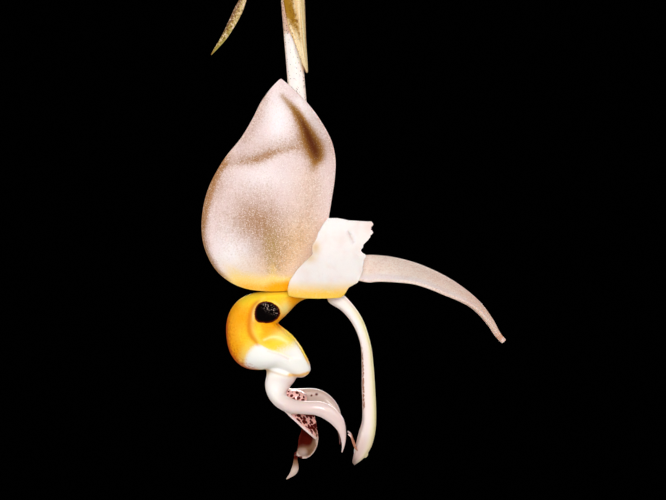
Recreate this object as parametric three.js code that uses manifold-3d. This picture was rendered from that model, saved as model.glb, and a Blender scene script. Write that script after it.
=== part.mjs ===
// A stanhopea orchid growing in a hanging slatted wooden pot. Its flower spike grows down
// through the floor of the pot and carries one hanging flower.
// Millimetres, +Z up. The origin is where the hanger's hook bears on what holds it up.
// The flower is seen from its side along +Y: its lip is on the left and its column on the right.
import * as THREE from "three";
import { mergeVertices } from "three/addons/utils/BufferGeometryUtils.js";
import Module from "manifold-3d";

const wasm = await Module();
wasm.setup();

// Driving dimensions
const TOUCH = 0.3; // what pieces that touch stand clear of each other
const HOOK_INSIDE = 11;
const HOOK_WIRE = 1.9;
const COLLAR_TOP = -50;
const COLLAR_BOTTOM = -64;
const COLLAR_RADIUS = 6;
const WIRE = 1.1;
const WIRE_IN_COLLAR = 2.7;
const POT_RIM = -275;
const SLAT_WIDTH = 12;
const SLAT_HEIGHT = 10;
const SLAT_LENGTH = 154;
const SLAT_PITCH = SLAT_HEIGHT + TOUCH;
const COURSES = 7;
const CORNER = 63; // from the pot's middle to the middle of a wall slat
const POT_FLOOR = POT_RIM - COURSES * SLAT_PITCH + TOUCH;
const BARK_TOP = POT_RIM - 7;
const SPIKE_LENGTH = 66; // below the pot's floor
const FLOWER = new THREE.Vector3(8, 0, POT_FLOOR - SPIKE_LENGTH - 106);
const STALK_TOP = [-10.3, 106]; // where the flower's stalk leaves the spike, from the flower's heart

const V = (x, y, z) => new THREE.Vector3(x, y, z);
const mix = THREE.MathUtils.lerp;
const smooth = THREE.MathUtils.smoothstep;
const bump = (distance, width) => Math.exp(-((distance / width) ** 2));

const steel = material(0x8c8f90, 0.35, 0.9);
const wood = material(0x8a5a34, 0.75);
const bark = material(0x4f3726, 0.95);
const bulbGreen = material(0x6f8f3c, 0.5);
const leafGreen = material(0x3f7032, 0.5);
const paper = material(0xa8945c, 0.85);
const rootGrey = material(0xb9b8a6, 0.8);
const stalkCream = material(0xf1e6da, 0.5);
const sepalPink = material(0xe3cfc4, 0.55);
const petalWhite = material(0xf7ece4, 0.5);
const lipOrange = material(0xf5a81c, 0.35);
const columnIvory = material(0xf4ecd2, 0.4);

function material(color, roughness, metalness = 0) {
  return new THREE.MeshStandardMaterial({ color, roughness, metalness });
}

// Solids from points

function geometryFrom(points, faces) {
  const place = new Float32Array(points.flatMap((p) => [p.x, p.y, p.z]));
  const geometry = new THREE.BufferGeometry();
  geometry.setAttribute("position", new THREE.BufferAttribute(place, 3));
  geometry.setIndex(faces.flat());
  return geometry;
}

function solid(geometry) {
  const bare = geometry.clone();
  bare.deleteAttribute("normal");
  bare.deleteAttribute("uv");
  const merged = mergeVertices(bare, 1e-4);
  const build = (triVerts) =>
    new wasm.Manifold(
      new wasm.Mesh({ numProp: 3, vertProperties: merged.attributes.position.array, triVerts }),
    );
  const triVerts = new Uint32Array(merged.index.array);
  const made = build(triVerts);
  return made.volume() > 0 ? made : build(triVerts.slice().reverse());
}

function geometryOf(manifold) {
  const mesh = manifold.getMesh();
  const geometry = new THREE.BufferGeometry();
  const place = new Float32Array(mesh.vertProperties);
  geometry.setAttribute("position", new THREE.BufferAttribute(place, 3));
  geometry.setIndex(new THREE.BufferAttribute(new Uint32Array(mesh.triVerts), 1));
  geometry.computeVertexNormals();
  return geometry;
}

// A closed body through rings of points, with a point to close each end.
function loft(rings) {
  const sides = rings[0].length;
  const points = rings.flat();
  const faces = [];
  rings.slice(1).forEach((_, i) => {
    for (let j = 0; j < sides; j += 1) {
      const a = i * sides + j;
      const b = i * sides + ((j + 1) % sides);
      faces.push([a, b, b + sides], [a, b + sides, a + sides]);
    }
  });
  const middle = (ring) => ring.reduce((sum, p) => sum.add(p), V(0, 0, 0)).divideScalar(sides);
  const start = points.push(middle(rings[0])) - 1;
  const end = points.push(middle(rings.at(-1))) - 1;
  const last = (rings.length - 1) * sides;
  for (let j = 0; j < sides; j += 1) {
    const next = (j + 1) % sides;
    faces.push([start, next, j], [end, last + j, last + next]);
  }
  return solid(geometryFrom(points, faces));
}

// A thin closed blade. surface(u, v) runs from u 0 at its base to 1 at its tip and v -1 to 1 across.
function blade(surface, thickness, rows, columns) {
  const step = 1e-3;
  const points = [];
  const faces = [];
  const index = (side, i, j) => (side * (rows + 1) + i) * (columns + 1) + j;
  for (const side of [0, 1])
    for (let i = 0; i <= rows; i += 1)
      for (let j = 0; j <= columns; j += 1) {
        const [u, v] = [i / rows, (2 * j) / columns - 1];
        const along = surface(Math.min(u + step, 1), v).sub(surface(Math.max(u - step, 0), v));
        const across = surface(u, Math.min(v + step, 1)).sub(surface(u, Math.max(v - step, -1)));
        const normal = along.cross(across).normalize();
        points.push(surface(u, v).addScaledVector(normal, (side - 0.5) * thickness(u, v)));
      }
  const quad = (a, b, c, d) => faces.push([a, b, c], [a, c, d]);
  for (let i = 0; i < rows; i += 1)
    for (let j = 0; j < columns; j += 1) {
      const [a, b, c, d] = [[i, j], [i + 1, j], [i + 1, j + 1], [i, j + 1]];
      quad(index(1, ...a), index(1, ...b), index(1, ...c), index(1, ...d));
      faces.push([index(0, ...a), index(0, ...c), index(0, ...b)]);
      faces.push([index(0, ...a), index(0, ...d), index(0, ...c)]);
    }
  for (let i = 0; i < rows; i += 1) {
    quad(index(0, i, 0), index(0, i + 1, 0), index(1, i + 1, 0), index(1, i, 0));
    quad(index(1, i, columns), index(1, i + 1, columns), index(0, i + 1, columns), index(0, i, columns));
  }
  for (let j = 0; j < columns; j += 1) {
    quad(index(0, 0, j + 1), index(0, 0, j), index(1, 0, j), index(1, 0, j + 1));
    quad(index(1, rows, j + 1), index(1, rows, j), index(0, rows, j), index(0, rows, j + 1));
  }
  return solid(geometryFrom(points, faces));
}

// A round stalk or wire through points, each with its own radius.
function tube(points, radiusAt, sides) {
  const across = V(0, 0, 0);
  const rings = points.map((p, i) => {
    const before = points[Math.max(i - 1, 0)];
    const after = points[Math.min(i + 1, points.length - 1)];
    const along = after.clone().sub(before).normalize();
    if (i === 0) across.crossVectors(along, Math.abs(along.y) < 0.9 ? V(0, 1, 0) : V(1, 0, 0));
    across.addScaledVector(along, -across.dot(along)).normalize();
    const other = along.clone().cross(across);
    const radius = radiusAt(i / (points.length - 1));
    return Array.from({ length: sides }, (_, j) => {
      const angle = (2 * Math.PI * j) / sides;
      return p
        .clone()
        .addScaledVector(across, radius * Math.cos(angle))
        .addScaledVector(other, radius * Math.sin(angle));
    });
  });
  return loft(rings);
}

// A smooth line through points, and the same line as evenly spaced points.
const line = (points) => new THREE.CatmullRomCurve3(points, false, "centripetal");
const along = (points, steps) => line(points).getSpacedPoints(steps);

// A bent wire's line: straight runs with each corner rounded by a short curve.
function rounded(corners, radius) {
  const out = [corners[0]];
  for (let i = 1; i < corners.length - 1; i += 1) {
    const [before, corner, after] = corners.slice(i - 1, i + 2);
    const from = corner.clone().add(before.clone().sub(corner).setLength(radius));
    const to = corner.clone().add(after.clone().sub(corner).setLength(radius));
    out.push(...new THREE.QuadraticBezierCurve3(from, corner, to).getPoints(3));
  }
  out.push(corners.at(-1));
  return out;
}

// A closed body between two edge lines in the flower's side view. A station is the outer edge's
// x and z, the inner edge's x and z, the half depth, and the middle's y. The powers square off
// each end of the section, and dish hollows its inner side.
function railBody(stations, options) {
  const { steps, sides, outerPower = 2, innerPower = () => 2, dish = () => 0 } = options;
  const rail = (a, b, c) => line(stations.map((s) => V(s[a], c === undefined ? 0 : s[c], s[b])));
  const [outer, inner] = [rail(0, 1, 5), rail(2, 3, 5)];
  const depth = line(stations.map((s, i) => V(i, s[4], 0)));
  const rings = Array.from({ length: steps + 1 }, (_, i) => {
    const u = i / steps;
    const [o, n] = [outer.getPoint(u), inner.getPoint(u)];
    const half = o.clone().sub(n).multiplyScalar(0.5);
    const centre = o.clone().add(n).multiplyScalar(0.5);
    const d = Math.max(depth.getPoint(u).y, 0.3);
    return Array.from({ length: sides }, (_, j) => {
      const angle = (2 * Math.PI * j) / sides;
      const [c, s] = [Math.cos(angle), Math.sin(angle)];
      const power = c > 0 ? outerPower : innerPower(u);
      const size = (Math.abs(c) ** power + Math.abs(s) ** power) ** (-1 / power);
      const out = c * size + (c < 0 ? dish(u) * (1 - (s * size) ** 2) : 0);
      return centre.clone().addScaledVector(half, out).add(V(0, d * s * size, 0));
    });
  });
  return loft(rings.map((ring) => ring.map((p) => p.add(FLOWER))));
}

// What is left of a body once the room that others need is cut from it.
const clear = (body, ...others) => others.reduce((left, other) => left.subtract(other), body);

const root = new THREE.Group();

function add(name, body, look) {
  const mesh = new THREE.Mesh(geometryOf(body), look);
  mesh.name = name;
  root.add(mesh);
}

// Hanger: a hook, a collar that gathers four wires, and the wires down the pot's corners

const hookLine = () => {
  const bend = HOOK_INSIDE + HOOK_WIRE;
  const points = [];
  for (let degrees = 195; degrees >= -45; degrees -= 24) {
    const angle = THREE.MathUtils.degToRad(degrees);
    points.push(V(bend * Math.cos(angle), 0, bend * Math.sin(angle) - HOOK_INSIDE));
  }
  const shank = [V(0.8, 0, -30), V(0, 0, -36), V(0, 0, COLLAR_TOP - 8)];
  return [...points, ...shank];
};

const wireLine = (sx, sy) => {
  const foot = POT_FLOOR - WIRE - TOUCH;
  const corners = [
    V(sx * WIRE_IN_COLLAR, sy * WIRE_IN_COLLAR, COLLAR_TOP - 6),
    V(sx * WIRE_IN_COLLAR, sy * WIRE_IN_COLLAR, COLLAR_BOTTOM - 4),
    V(sx * CORNER, sy * CORNER, POT_RIM + 5),
    V(sx * CORNER, sy * CORNER, foot),
    V(sx * (CORNER - 9), sy * CORNER, foot),
  ];
  return rounded(corners, 3);
};

const collar = () => {
  const [top, bottom] = [COLLAR_TOP, COLLAR_BOTTOM];
  const profile = [
    [0, bottom], [COLLAR_RADIUS - 1, bottom], [COLLAR_RADIUS, bottom + 1.2],
    [COLLAR_RADIUS, top - 4], [3.6, top], [0, top],
  ];
  const lathe = new THREE.LatheGeometry(profile.map(([r, z]) => new THREE.Vector2(r, z)), 16);
  lathe.rotateX(Math.PI / 2);
  return solid(lathe);
};

const CORNERS = [[-1, -1], [1, -1], [1, 1], [-1, 1]];
const shankHole = tube([V(0, 0, COLLAR_TOP - 8.4), V(0, 0, COLLAR_TOP + 2)], () => HOOK_WIRE + TOUCH, 10);
const wireHoles = CORNERS.map(([sx, sy]) =>
  tube(
    [COLLAR_BOTTOM - 2, COLLAR_TOP - 5.6].map((z) => V(sx * WIRE_IN_COLLAR, sy * WIRE_IN_COLLAR, z)),
    () => WIRE + TOUCH,
    6,
  ),
);
add("hanger_hook", tube(hookLine(), () => HOOK_WIRE, 9), steel);
add("hanger_collar", clear(collar(), shankHole, ...wireHoles), steel);
CORNERS.forEach(([sx, sy], i) => add(`hanger_wire_${i + 1}`, tube(wireLine(sx, sy), () => WIRE, 6), steel));

// Pot: crossed courses of slats, threaded on the wires at the corners

const courseMiddle = (course) => POT_FLOOR + SLAT_HEIGHT / 2 + course * SLAT_PITCH;

function slat(alongX, offset, course, holes = true) {
  const size = alongX ? [SLAT_LENGTH, SLAT_WIDTH] : [SLAT_WIDTH, SLAT_LENGTH];
  const box = new THREE.BoxGeometry(...size, SLAT_HEIGHT);
  const z = courseMiddle(course);
  box.translate(alongX ? 0 : offset, alongX ? offset : 0, z);
  const bores = (holes ? [-CORNER, CORNER] : []).map((end) => {
    const [x, y] = alongX ? [end, offset] : [offset, end];
    return tube([V(x, y, z - SLAT_HEIGHT), V(x, y, z + SLAT_HEIGHT)], () => WIRE + 2 * TOUCH, 6);
  });
  return clear(solid(box), ...bores);
}

for (let course = 0; course < COURSES; course += 1)
  [-1, 1].forEach((side) => {
    const alongX = course % 2 === 1;
    const place = alongX ? ["front", "back"] : ["left", "right"];
    const name = `pot_slat_${place[side < 0 ? 0 : 1]}_${course + 1}`;
    add(name, slat(alongX, side * CORNER, course), wood);
  });
[-38, -13, 13, 38].forEach((x, i) => add(`pot_floor_slat_${i + 1}`, slat(false, x, 0, false), wood));

// Plant: a rhizome on the bark with four ribbed bulbs, each with one pleated leaf

const onBark = (points) => points.map(([x, y, z]) => V(x, y, BARK_TOP + z));
const RHIZOME = onBark([[-34, -9, 3], [-12, 8, 3.5], [12, -6, 3.5], [35, 9, 3]]);
const rhizome = (grow = 0) => tube(along(RHIZOME, 10), () => 4.2 + grow, 8);

// Each shoot: where it stands, the way its leaf turns in degrees, and how large it is.
const SHOOTS = [
  { x: -33, y: -12, turn: 188, size: 1, sheathed: false },
  { x: -9, y: 20, turn: 97, size: 0.9, sheathed: true },
  { x: 12, y: -19, turn: 272, size: 0.94, sheathed: false },
  { x: 34, y: 14, turn: 8, size: 1.06, sheathed: true },
];
const SHEATH_OUT = 1.1; // from a bulb's skin to the outside of its old sheath
const BULB_HEIGHT = 46;
const BULB_RADIUS = 14;
const BULB_LEAN = 0.2;
const BULB_RIBS = 7;
const outward = ({ turn }) => {
  const angle = THREE.MathUtils.degToRad(turn);
  return V(Math.cos(angle), Math.sin(angle), 0);
};

function bulbPoint(shoot, share, angle, grow) {
  const height = BULB_HEIGHT * shoot.size;
  const swell = Math.sin(Math.PI * mix(0.16, 0.93, share) ** 0.86) ** 0.72;
  const rib = 1 - 0.07 * (0.5 + 0.5 * Math.cos(BULB_RIBS * angle)) * swell;
  const radius = BULB_RADIUS * shoot.size * swell * rib + grow;
  const middle = V(shoot.x, shoot.y, BARK_TOP + height * share);
  middle.addScaledVector(outward(shoot), BULB_LEAN * height * share);
  return middle.add(V(radius * Math.cos(angle), radius * Math.sin(angle), 0));
}

function bulb(shoot, grow = 0, from = 0.02, to = 1, steps = 8, ragged = () => 0) {
  const sides = 2 * BULB_RIBS;
  const rings = Array.from({ length: steps + 1 }, (_, i) =>
    Array.from({ length: sides }, (__, j) => {
      const share = mix(from, to, i / steps) + ragged(j) * (i / steps);
      return bulbPoint(shoot, share, (2 * Math.PI * j) / sides, grow);
    }),
  );
  return loft(rings);
}

// The papery sheath that is left round a bulb's foot, torn to points at its top.
function sheath(shoot) {
  const torn = (j) => 0.16 * ((j * 5) % 7) / 6 - 0.08;
  const outer = bulb(shoot, SHEATH_OUT, 0.04, 0.46, 4, torn);
  return outer.subtract(bulb(shoot, TOUCH, 0, 0.7, 5));
}

const bulbTop = (shoot) => bulbPoint(shoot, 1, 0, 0).lerp(bulbPoint(shoot, 1, Math.PI, 0), 0.5);

// The leaf's line from the top of its bulb: how far out, then how high.
const LEAF_LINE = [[0, -1], [5, 16], [15, 36], [44, 78], [80, 108], [122, 113], [156, 92]];
const LEAF_HALF = 33;
const LEAF_PLEATS = 5;

const STALK_HALF = 2.3; // half the width of the leaf's own stalk, which takes the first share of its line
const STALK_SHARE = 0.14;

function leafHalf(u) {
  const share = Math.max((u - STALK_SHARE) / (1 - STALK_SHARE), 0);
  return mix(STALK_HALF, LEAF_HALF, Math.sin(Math.PI * Math.min(share, 1) ** 0.92) ** 1.15);
}

function leaf(shoot, rows, columns) {
  const out = outward(shoot);
  const side = V(-out.y, out.x, 0);
  const base = bulbTop(shoot);
  const middle = line(LEAF_LINE.map(([r, z]) => V(r, 0, z).multiplyScalar(shoot.size)));
  const surface = (u, v) => {
    const { x: r, z } = middle.getPoint(u);
    const forward = middle.getTangent(u);
    const half = leafHalf(u) * shoot.size;
    const fold = 0.34 * half * Math.abs(v) ** 1.3 * (1 - 0.75 * smooth(u, 0.2, 0.6));
    const pleat = 0.045 * half * Math.cos(LEAF_PLEATS * Math.PI * v) * (1 - v * v);
    const wave = 1.6 * Math.sin(9 * u + 2 * v) * v * v * smooth(u, 0.3, 0.6) * (1 - smooth(u, 0.85, 1));
    const lift = fold + pleat + wave;
    const spread = out.clone().multiplyScalar(r - forward.z * lift).add(V(0, 0, z + forward.x * lift));
    return spread.addScaledVector(side, v * half).add(base);
  };
  return blade(surface, (u) => mix(1.6, 0.9, smooth(u, 0.05, 0.3)), rows, columns);
}

// Roots that creep from the rhizome over the bark and out between the slats.
const ROOTS = [
  [
    [-30, -4, 2], [-41, 6, 4], [-49, 12, 1], [-55, 15, -6],
    [-63, 17, -8.3], [-71, 19, -10], [-75, 20, -18], [-75, 21, -40],
  ],
  [
    [16, -4, 3], [30, -18, 6], [34, -36, 5], [36, -50, 2],
    [38, -61, 0.3], [39, -69.5, 0], [40, -73.5, -5], [41, -74, -26],
  ],
  [
    [28, 4, 3], [40, -4, 6], [48, -9, 2], [55, -11, -6],
    [63, -12, -8.3], [71, -14, -10], [75, -15, -17], [75, -15, -29],
  ],
].map(onBark);
const creeper = (points, grow = 0) => tube(along(points, 12), (u) => 1.5 - 0.5 * u * u + grow, 6);

// The bark that fills the pot: a block whose faces are broken up as chips.
function barkBlock() {
  const half = CORNER - SLAT_WIDTH / 2 - TOUCH;
  const bottom = POT_FLOOR + SLAT_HEIGHT + TOUCH;
  const height = BARK_TOP - bottom;
  const block = new THREE.BoxGeometry(2 * half, 2 * half, height, 8, 8, 2);
  block.translate(0, 0, bottom + height / 2);
  block.deleteAttribute("normal");
  block.deleteAttribute("uv");
  const merged = mergeVertices(block, 1e-3);
  const place = merged.attributes.position;
  for (let i = 0; i < place.count; i += 1) {
    const [x, y, z] = [place.getX(i), place.getY(i), place.getZ(i)];
    const chip = (a, b) => 0.5 + 0.5 * Math.sin(a * 12.9898 + b * 78.233 + z * 3.7);
    const mound = 4 * (1 - (x / half) ** 2) * (1 - (y / half) ** 2);
    const rise = z > BARK_TOP - 1 ? mound + 3 * chip(y, x) - 3 : 0;
    const inset = 1 - 0.05 * chip(x, y);
    place.setXYZ(i, x * inset, y * inset, z + rise);
  }
  return solid(merged);
}

// Flower spike and stalk

const stalkTop = FLOWER.clone().add(V(STALK_TOP[0], 0, STALK_TOP[1]));
const spikeLine = [
  V(0.5, 1.5, BARK_TOP + 0.5),
  V(1.5, 3, BARK_TOP - 30),
  V(-0.5, 1, POT_FLOOR),
  V(-2.6, -0.5, POT_FLOOR - 30),
  stalkTop.clone().add(V(0, 0, -1)),
];
const spike = (grow = 0) => tube(along(spikeLine, 10), (u) => 3.4 - 0.3 * u + grow, 10);
const stalkLine = [
  stalkTop.clone().add(V(0.1, 0, -1.4)),
  FLOWER.clone().add(V(-9.2, 0, 85)),
  FLOWER.clone().add(V(-7.2, 0, 61)),
  FLOWER.clone().add(V(-4.6, 0, 30)),
  FLOWER.clone().add(V(-1.6, 0, 8)),
  FLOWER.clone().add(V(0, 0, 0)),
];
const heart = (grow = 0) => {
  const knob = new THREE.SphereGeometry(3.4 + grow, 10, 6);
  knob.translate(FLOWER.x + 0.4, 0, FLOWER.z + 0.6);
  return solid(knob);
};
const stalk = (grow = 0) =>
  tube(along(stalkLine, 9), (u) => 2.55 + 0.5 * bump(u - 0.8, 0.3) + grow, 10).add(heart(grow));

const bulbRooms = SHOOTS.map((shoot) => bulb(shoot, shoot.sheathed ? SHEATH_OUT + TOUCH : TOUCH, 0, 1));
const rootRooms = ROOTS.map((points) => creeper(points, TOUCH));
add("potting_bark", clear(barkBlock(), ...bulbRooms, ...rootRooms, rhizome(TOUCH), spike(TOUCH)), bark);
add("rhizome", clear(rhizome(), spike(TOUCH), ...rootRooms), bulbGreen);
SHOOTS.forEach((shoot, i) => {
  add(`bulb_${i + 1}`, clear(bulb(shoot), rhizome(TOUCH), ...rootRooms), bulbGreen);
  add(`leaf_${i + 1}`, clear(leaf(shoot, 14, 10), bulb(shoot, TOUCH)), leafGreen);
});
SHOOTS.filter((shoot) => shoot.sheathed).forEach((shoot, i) => {
  add(`bulb_sheath_${i + 1}`, clear(sheath(shoot), rhizome(TOUCH), ...rootRooms), paper);
});
ROOTS.forEach((points, i) => add(`root_${i + 1}`, creeper(points), rootGrey));

add("flower_spike", spike(), bulbGreen);
add("flower_stalk", stalk(), stalkCream);

// A papery bract that wraps a stalk, from the share `from` of its line to the share `to`.
function bract(points, from, to, options) {
  const { radius, wrap, facing, flare = 0, rows = 8, columns = 6 } = options;
  const axis = line(points);
  const surface = (u, v) => {
    const angle = facing + v * (wrap * (1 - u ** 1.5) + 0.12);
    const reach = radius + flare * u * u;
    return axis.getPoint(mix(from, to, u)).add(V(reach * Math.cos(angle), reach * Math.sin(angle), 0));
  };
  return blade(surface, () => 0.7, rows, columns);
}

const spikeBelow = [...spikeLine.slice(2, 4), stalkTop];
const BRACTS = [
  ["spike_bract_1", spikeBelow, 0.02, 0.42, { radius: 4.4, wrap: 2.2, facing: -1.9, flare: 1.6 }],
  ["spike_bract_2", spikeBelow, 0.45, 0.86, { radius: 4.3, wrap: 2.1, facing: 0.9, flare: 1.5 }],
  ["flower_bract", stalkLine, 0.03, 0.385, { radius: 3.5, wrap: 2.8, facing: -0.45, flare: 0.5, rows: 10 }],
];
BRACTS.forEach(([name, ...shape]) => add(name, bract(...shape), paper));

// The free bract beside the stalk, from the spike's end out to the left.
const sideBract = () => {
  const middle = line([
    stalkTop.clone().add(V(-4.6, 0, 0.4)),
    FLOWER.clone().add(V(-17.6, 0, 98)),
    FLOWER.clone().add(V(-24.4, 0, 82.4)),
    FLOWER.clone().add(V(-32.6, 0, 68.6)),
  ]);
  const surface = (u, v) => {
    const half = 1.6 * Math.sin(Math.PI * mix(0.28, 0.97, u));
    return middle.getPoint(u).add(V(v * half * 0.85, -1.1 * (1 - v * v) * (1 - u), v * half * 0.5));
  };
  return blade(surface, () => 0.7, 10, 4);
};
add("side_bract", sideBract(), paper);

// Flower

// Left and right edges of the lateral sepal's face: x and z of each, from its base to its tip.
const LATERAL_EDGES = [
  [-3.9, -0.9, -1.4, 2.1], [-7.6, -1.9, -2.7, 3.6], [-13.5, -2.5, -1.8, 6.5], [-23.5, -1.3, 0.6, 11.5],
  [-30.6, 3.2, 2, 16.5], [-34.6, 10.5, 2.8, 21], [-35.4, 18, 3.6, 26], [-33.5, 28, 4.5, 32],
  [-28.8, 36.9, 4.7, 37.4], [-23.5, 43.6, 3.6, 42.6], [-20, 49.5, 0.9, 47.8], [-17.2, 55.2, -3.1, 53.4],
  [-14.4, 59, -8, 57.9], [-12.3, 60.8, -11.1, 60.7],
];

const LATERAL_SIZE = V(0.98, 1, 0.98);

// How far the lateral sepal's face stands out from the flower's middle plane.
function lateralDepth(x, z, v) {
  const rise = 3.1 + 1.2 * smooth(-x, 1.5, 8) + 4.6 * smooth(z, -2, 28) + 3.4 * smooth(-x, 12, 36);
  const rim = 2.4 * Math.abs(v) ** 3 * smooth(z, 2, 20) * (1 - smooth(z, 50, 61));
  const hollowAcross = (x + 2.2) * 0.93 + (z - 42.5) * 0.37;
  const hollowAlong = (z - 42.5) * 0.93 - (x + 2.2) * 0.37;
  const hollow = 2.2 * bump(hollowAcross, 3.2) * bump(hollowAlong, 10);
  const creaseAcross = (z - 38) * 0.96 - (x + 19) * 0.28;
  const crease = 1.1 * bump(creaseAcross, 2.6) * bump(x + 19, 9);
  const belly = 2.6 * bump(x + 26, 9) * bump(z - 9, 10);
  return rise + rim + belly - hollow - crease;
}

function lateralSepal(side, rows, columns) {
  const left = line(LATERAL_EDGES.map(([x, z]) => V(x, 0, z)));
  const right = line(LATERAL_EDGES.map(([, , x, z]) => V(x, 0, z)));
  const surface = (u, v) => {
    const p = left.getPoint(u).lerp(right.getPoint(u), (v + 1) / 2);
    return V(p.x, side * lateralDepth(p.x, p.z, v), p.z).multiply(LATERAL_SIZE).add(FLOWER);
  };
  return blade(surface, (u, v) => 1.1 - 0.3 * v * v, rows, columns);
}

// Edges of the cut petal's torn base: height, left x and right x, straight from one to the next.
const STUB_EDGES = [
  [-4.3, -3.4, 3.6], [-3.3, -9.2, 7.4], [-1.2, -9.5, 8.7], [0.5, -9.1, 11.3],
  [2.8, -8, 12.3], [5.1, -5.8, 12.8], [8.2, -2.2, 13.7], [9.8, -1.4, 12.2],
  [12.2, -1, 13.6], [15, -0.6, 15.7], [16.3, 0.2, 15.1], [18.1, 1.1, 15.5],
  [19.3, 1.9, 5.4],
];

function petalStub(side, scale) {
  const last = STUB_EDGES.length - 1;
  const surface = (u, v) => {
    const i = Math.min(Math.floor(u * last), last - 1);
    const share = u * last - i;
    const [z, l, r] = STUB_EDGES[i].map((n, k) => mix(n, STUB_EDGES[i + 1][k], share));
    const x = mix(l, r, (v + 1) / 2);
    const swell = 1.8 * bump(x - 2, 7) * bump(z - 5, 8) - 2.4 * smooth(z, 6, 19) * smooth(x, 5, 15);
    const wall = 6.6 + 4.8 * smooth(z, -2, 17) + swell - 0.6 * smooth(-z, -1, 4.4);
    return V(x * scale, side * wall, z * scale).add(FLOWER);
  };
  return blade(surface, () => 1.3, last, 5);
}

// A short claw that carries a petal's base on the flower's heart.
const petalClaw = (side) =>
  tube(
    [V(1.6, side * 2.4, 0.2), V(2.6, side * 4.6, -0.2), V(2.8, side * 7.3, 0.4)].map((p) => p.add(FLOWER)),
    (u) => 1.5 + 0.8 * u,
    8,
  );

// Ridge line of the dorsal sepal, then how wide and how deep its arch is along it.
const DORSAL_RIDGE = [
  [2.5, 3.3], [8, 7], [13.8, 8.4], [18, 8.6], [22.5, 8.1],
  [30, 5.4], [39.6, 0.9], [47.4, -5.1], [51.9, -11.1], [54.6, -16.4],
];
const DORSAL_HALF = [1.8, 4.2, 5.6, 8.6, 12, 13.4, 10.4, 6, 3.2, 1.1];
const DORSAL_DROP = [0.8, 4.6, 8, 8, 7.6, 6.9, 5, 3.2, 2.2, 1];

function dorsalSepal(rows, columns) {
  const last = DORSAL_RIDGE.length - 1;
  const ridge = line(DORSAL_RIDGE.map(([x, z]) => V(x, 0, z)));
  const sizes = line(DORSAL_HALF.map((half, i) => V(i, half, DORSAL_DROP[i])));
  const surface = (u, v) => {
    const p = ridge.getPoint(u);
    const direction = ridge.getTangent(u);
    const { y: half, z: drop } = sizes.getPoint(u);
    const down = drop * Math.abs(v) ** 1.8;
    const curl = 1.1 * smooth(Math.abs(v), 0.8, 1) * (1 - u);
    return V(p.x + direction.z * down, v * (half + curl), p.z - direction.x * down).add(FLOWER);
  };
  return blade(surface, () => 1, rows, columns);
}

// The lip's pouch: outer x and z, inner x and z, half depth, middle.
const POUCH = [
  [1, -3.3, 0.8, -4.7, 1.2, 0], [-2.8, -2.8, -1.6, -4.7, 2.2, 0],
  [-6.9, -2.5, -4.4, -4.8, 3.4, 0], [-11.4, -2.7, -6.9, -6.2, 4.8, 0],
  [-16.2, -2.8, -8.9, -8.3, 6.4, 0], [-20.4, -3.2, -10.8, -10.2, 7.8, 0],
  [-24, -4.8, -12, -11.3, 8.8, 0], [-26.7, -7.9, -12.5, -11.8, 9.4, 0],
  [-28, -11.7, -12.5, -12, 9.6, 0], [-28, -16.5, -12.1, -12.4, 9.7, 0],
  [-27, -20.7, -11.2, -13.1, 9.6, 0], [-24.9, -23.8, -9.9, -14.1, 9.3, 0],
  [-21.9, -25.6, -8.4, -15.4, 8.9, 0], [-18.4, -26.1, -6.9, -17.1, 8.3, 0],
  [-15, -26.3, -5.5, -19.1, 7.4, 0], [-11.6, -27.1, -4.3, -21.4, 6.2, 0],
  [-8.2, -28, -3.4, -23.4, 4.8, 0], [-5.2, -28.3, -2.9, -25.2, 3.2, 0],
  [-3.6, -27.4, -2.8, -26, 1.6, 0],
];
const POUCH_WALL = 2;

// The hollow of the pouch: the same stations, a wall further in, and open towards the column.
const POUCH_HOLLOW = POUCH.slice(8, 17).map(([ox, oz, ix, iz, depth]) => {
  const inward = new THREE.Vector2(ix - ox, iz - oz).normalize();
  const from = [ox + inward.x * POUCH_WALL, oz + inward.y * POUCH_WALL];
  return [...from, ix + inward.x * 2.5, iz + inward.y * 2.5, depth - POUCH_WALL, 0];
});

// The neck under the pouch, and the two horns that spring from its sides.
const NECK = [
  [-16.6, -23.5, -7.6, -24.5, 5.4, 0], [-16, -27, -7.2, -28.6, 5.2, 0],
  [-16.5, -30.2, -9, -31.2, 4.9, 0], [-16.1, -32.8, -10, -33, 5.4, 0],
  [-14.7, -35.4, -9.2, -34.4, 6.2, 0], [-12, -37.8, -7.4, -35.2, 6.4, 0],
  [-9.4, -39, -6, -36, 5, 0],
];
const NEAR_HORN = [
  [-10.5, -33.6, -12, -37.2, 1.6, -4.2], [-7.5, -35.3, -9, -38.9, 1.7, -5.6],
  [-4.2, -35.6, -4.6, -39.1, 1.6, -6.6], [0, -35.4, -1.3, -39.5, 1.5, -7],
  [3.1, -36.6, 1.3, -40.6, 1.4, -7], [5.4, -38.4, 3.7, -42.4, 1.3, -6.6],
  [7, -40.6, 5.6, -44.8, 1.1, -6], [7.8, -44.4, 6.3, -47.2, 0.9, -5.2],
  [7.6, -48, 6.5, -49.4, 0.7, -4.4], [6.7, -51, 6.3, -50.9, 0.4, -3.8],
];
const FAR_HORN = [
  [-10.2, -31.4, -12, -35, 1.6, 4.2], [-7.2, -31.8, -8.4, -35.2, 1.7, 5.6],
  [-4.5, -31.5, -4.9, -35.1, 1.6, 6.6], [-1.2, -31.4, -2, -35.2, 1.5, 7],
  [1.8, -32.5, 0.3, -36.2, 1.4, 7], [4.2, -34.2, 2.4, -37.8, 1.3, 6.6],
  [6, -36.8, 4.2, -40.2, 1.1, 6], [6.9, -40.4, 5.2, -43, 0.9, 5.2],
  [6.8, -44.2, 5.4, -45.8, 0.7, 4.4], [5.7, -48.6, 5.2, -48.6, 0.4, 3.6],
];

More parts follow.
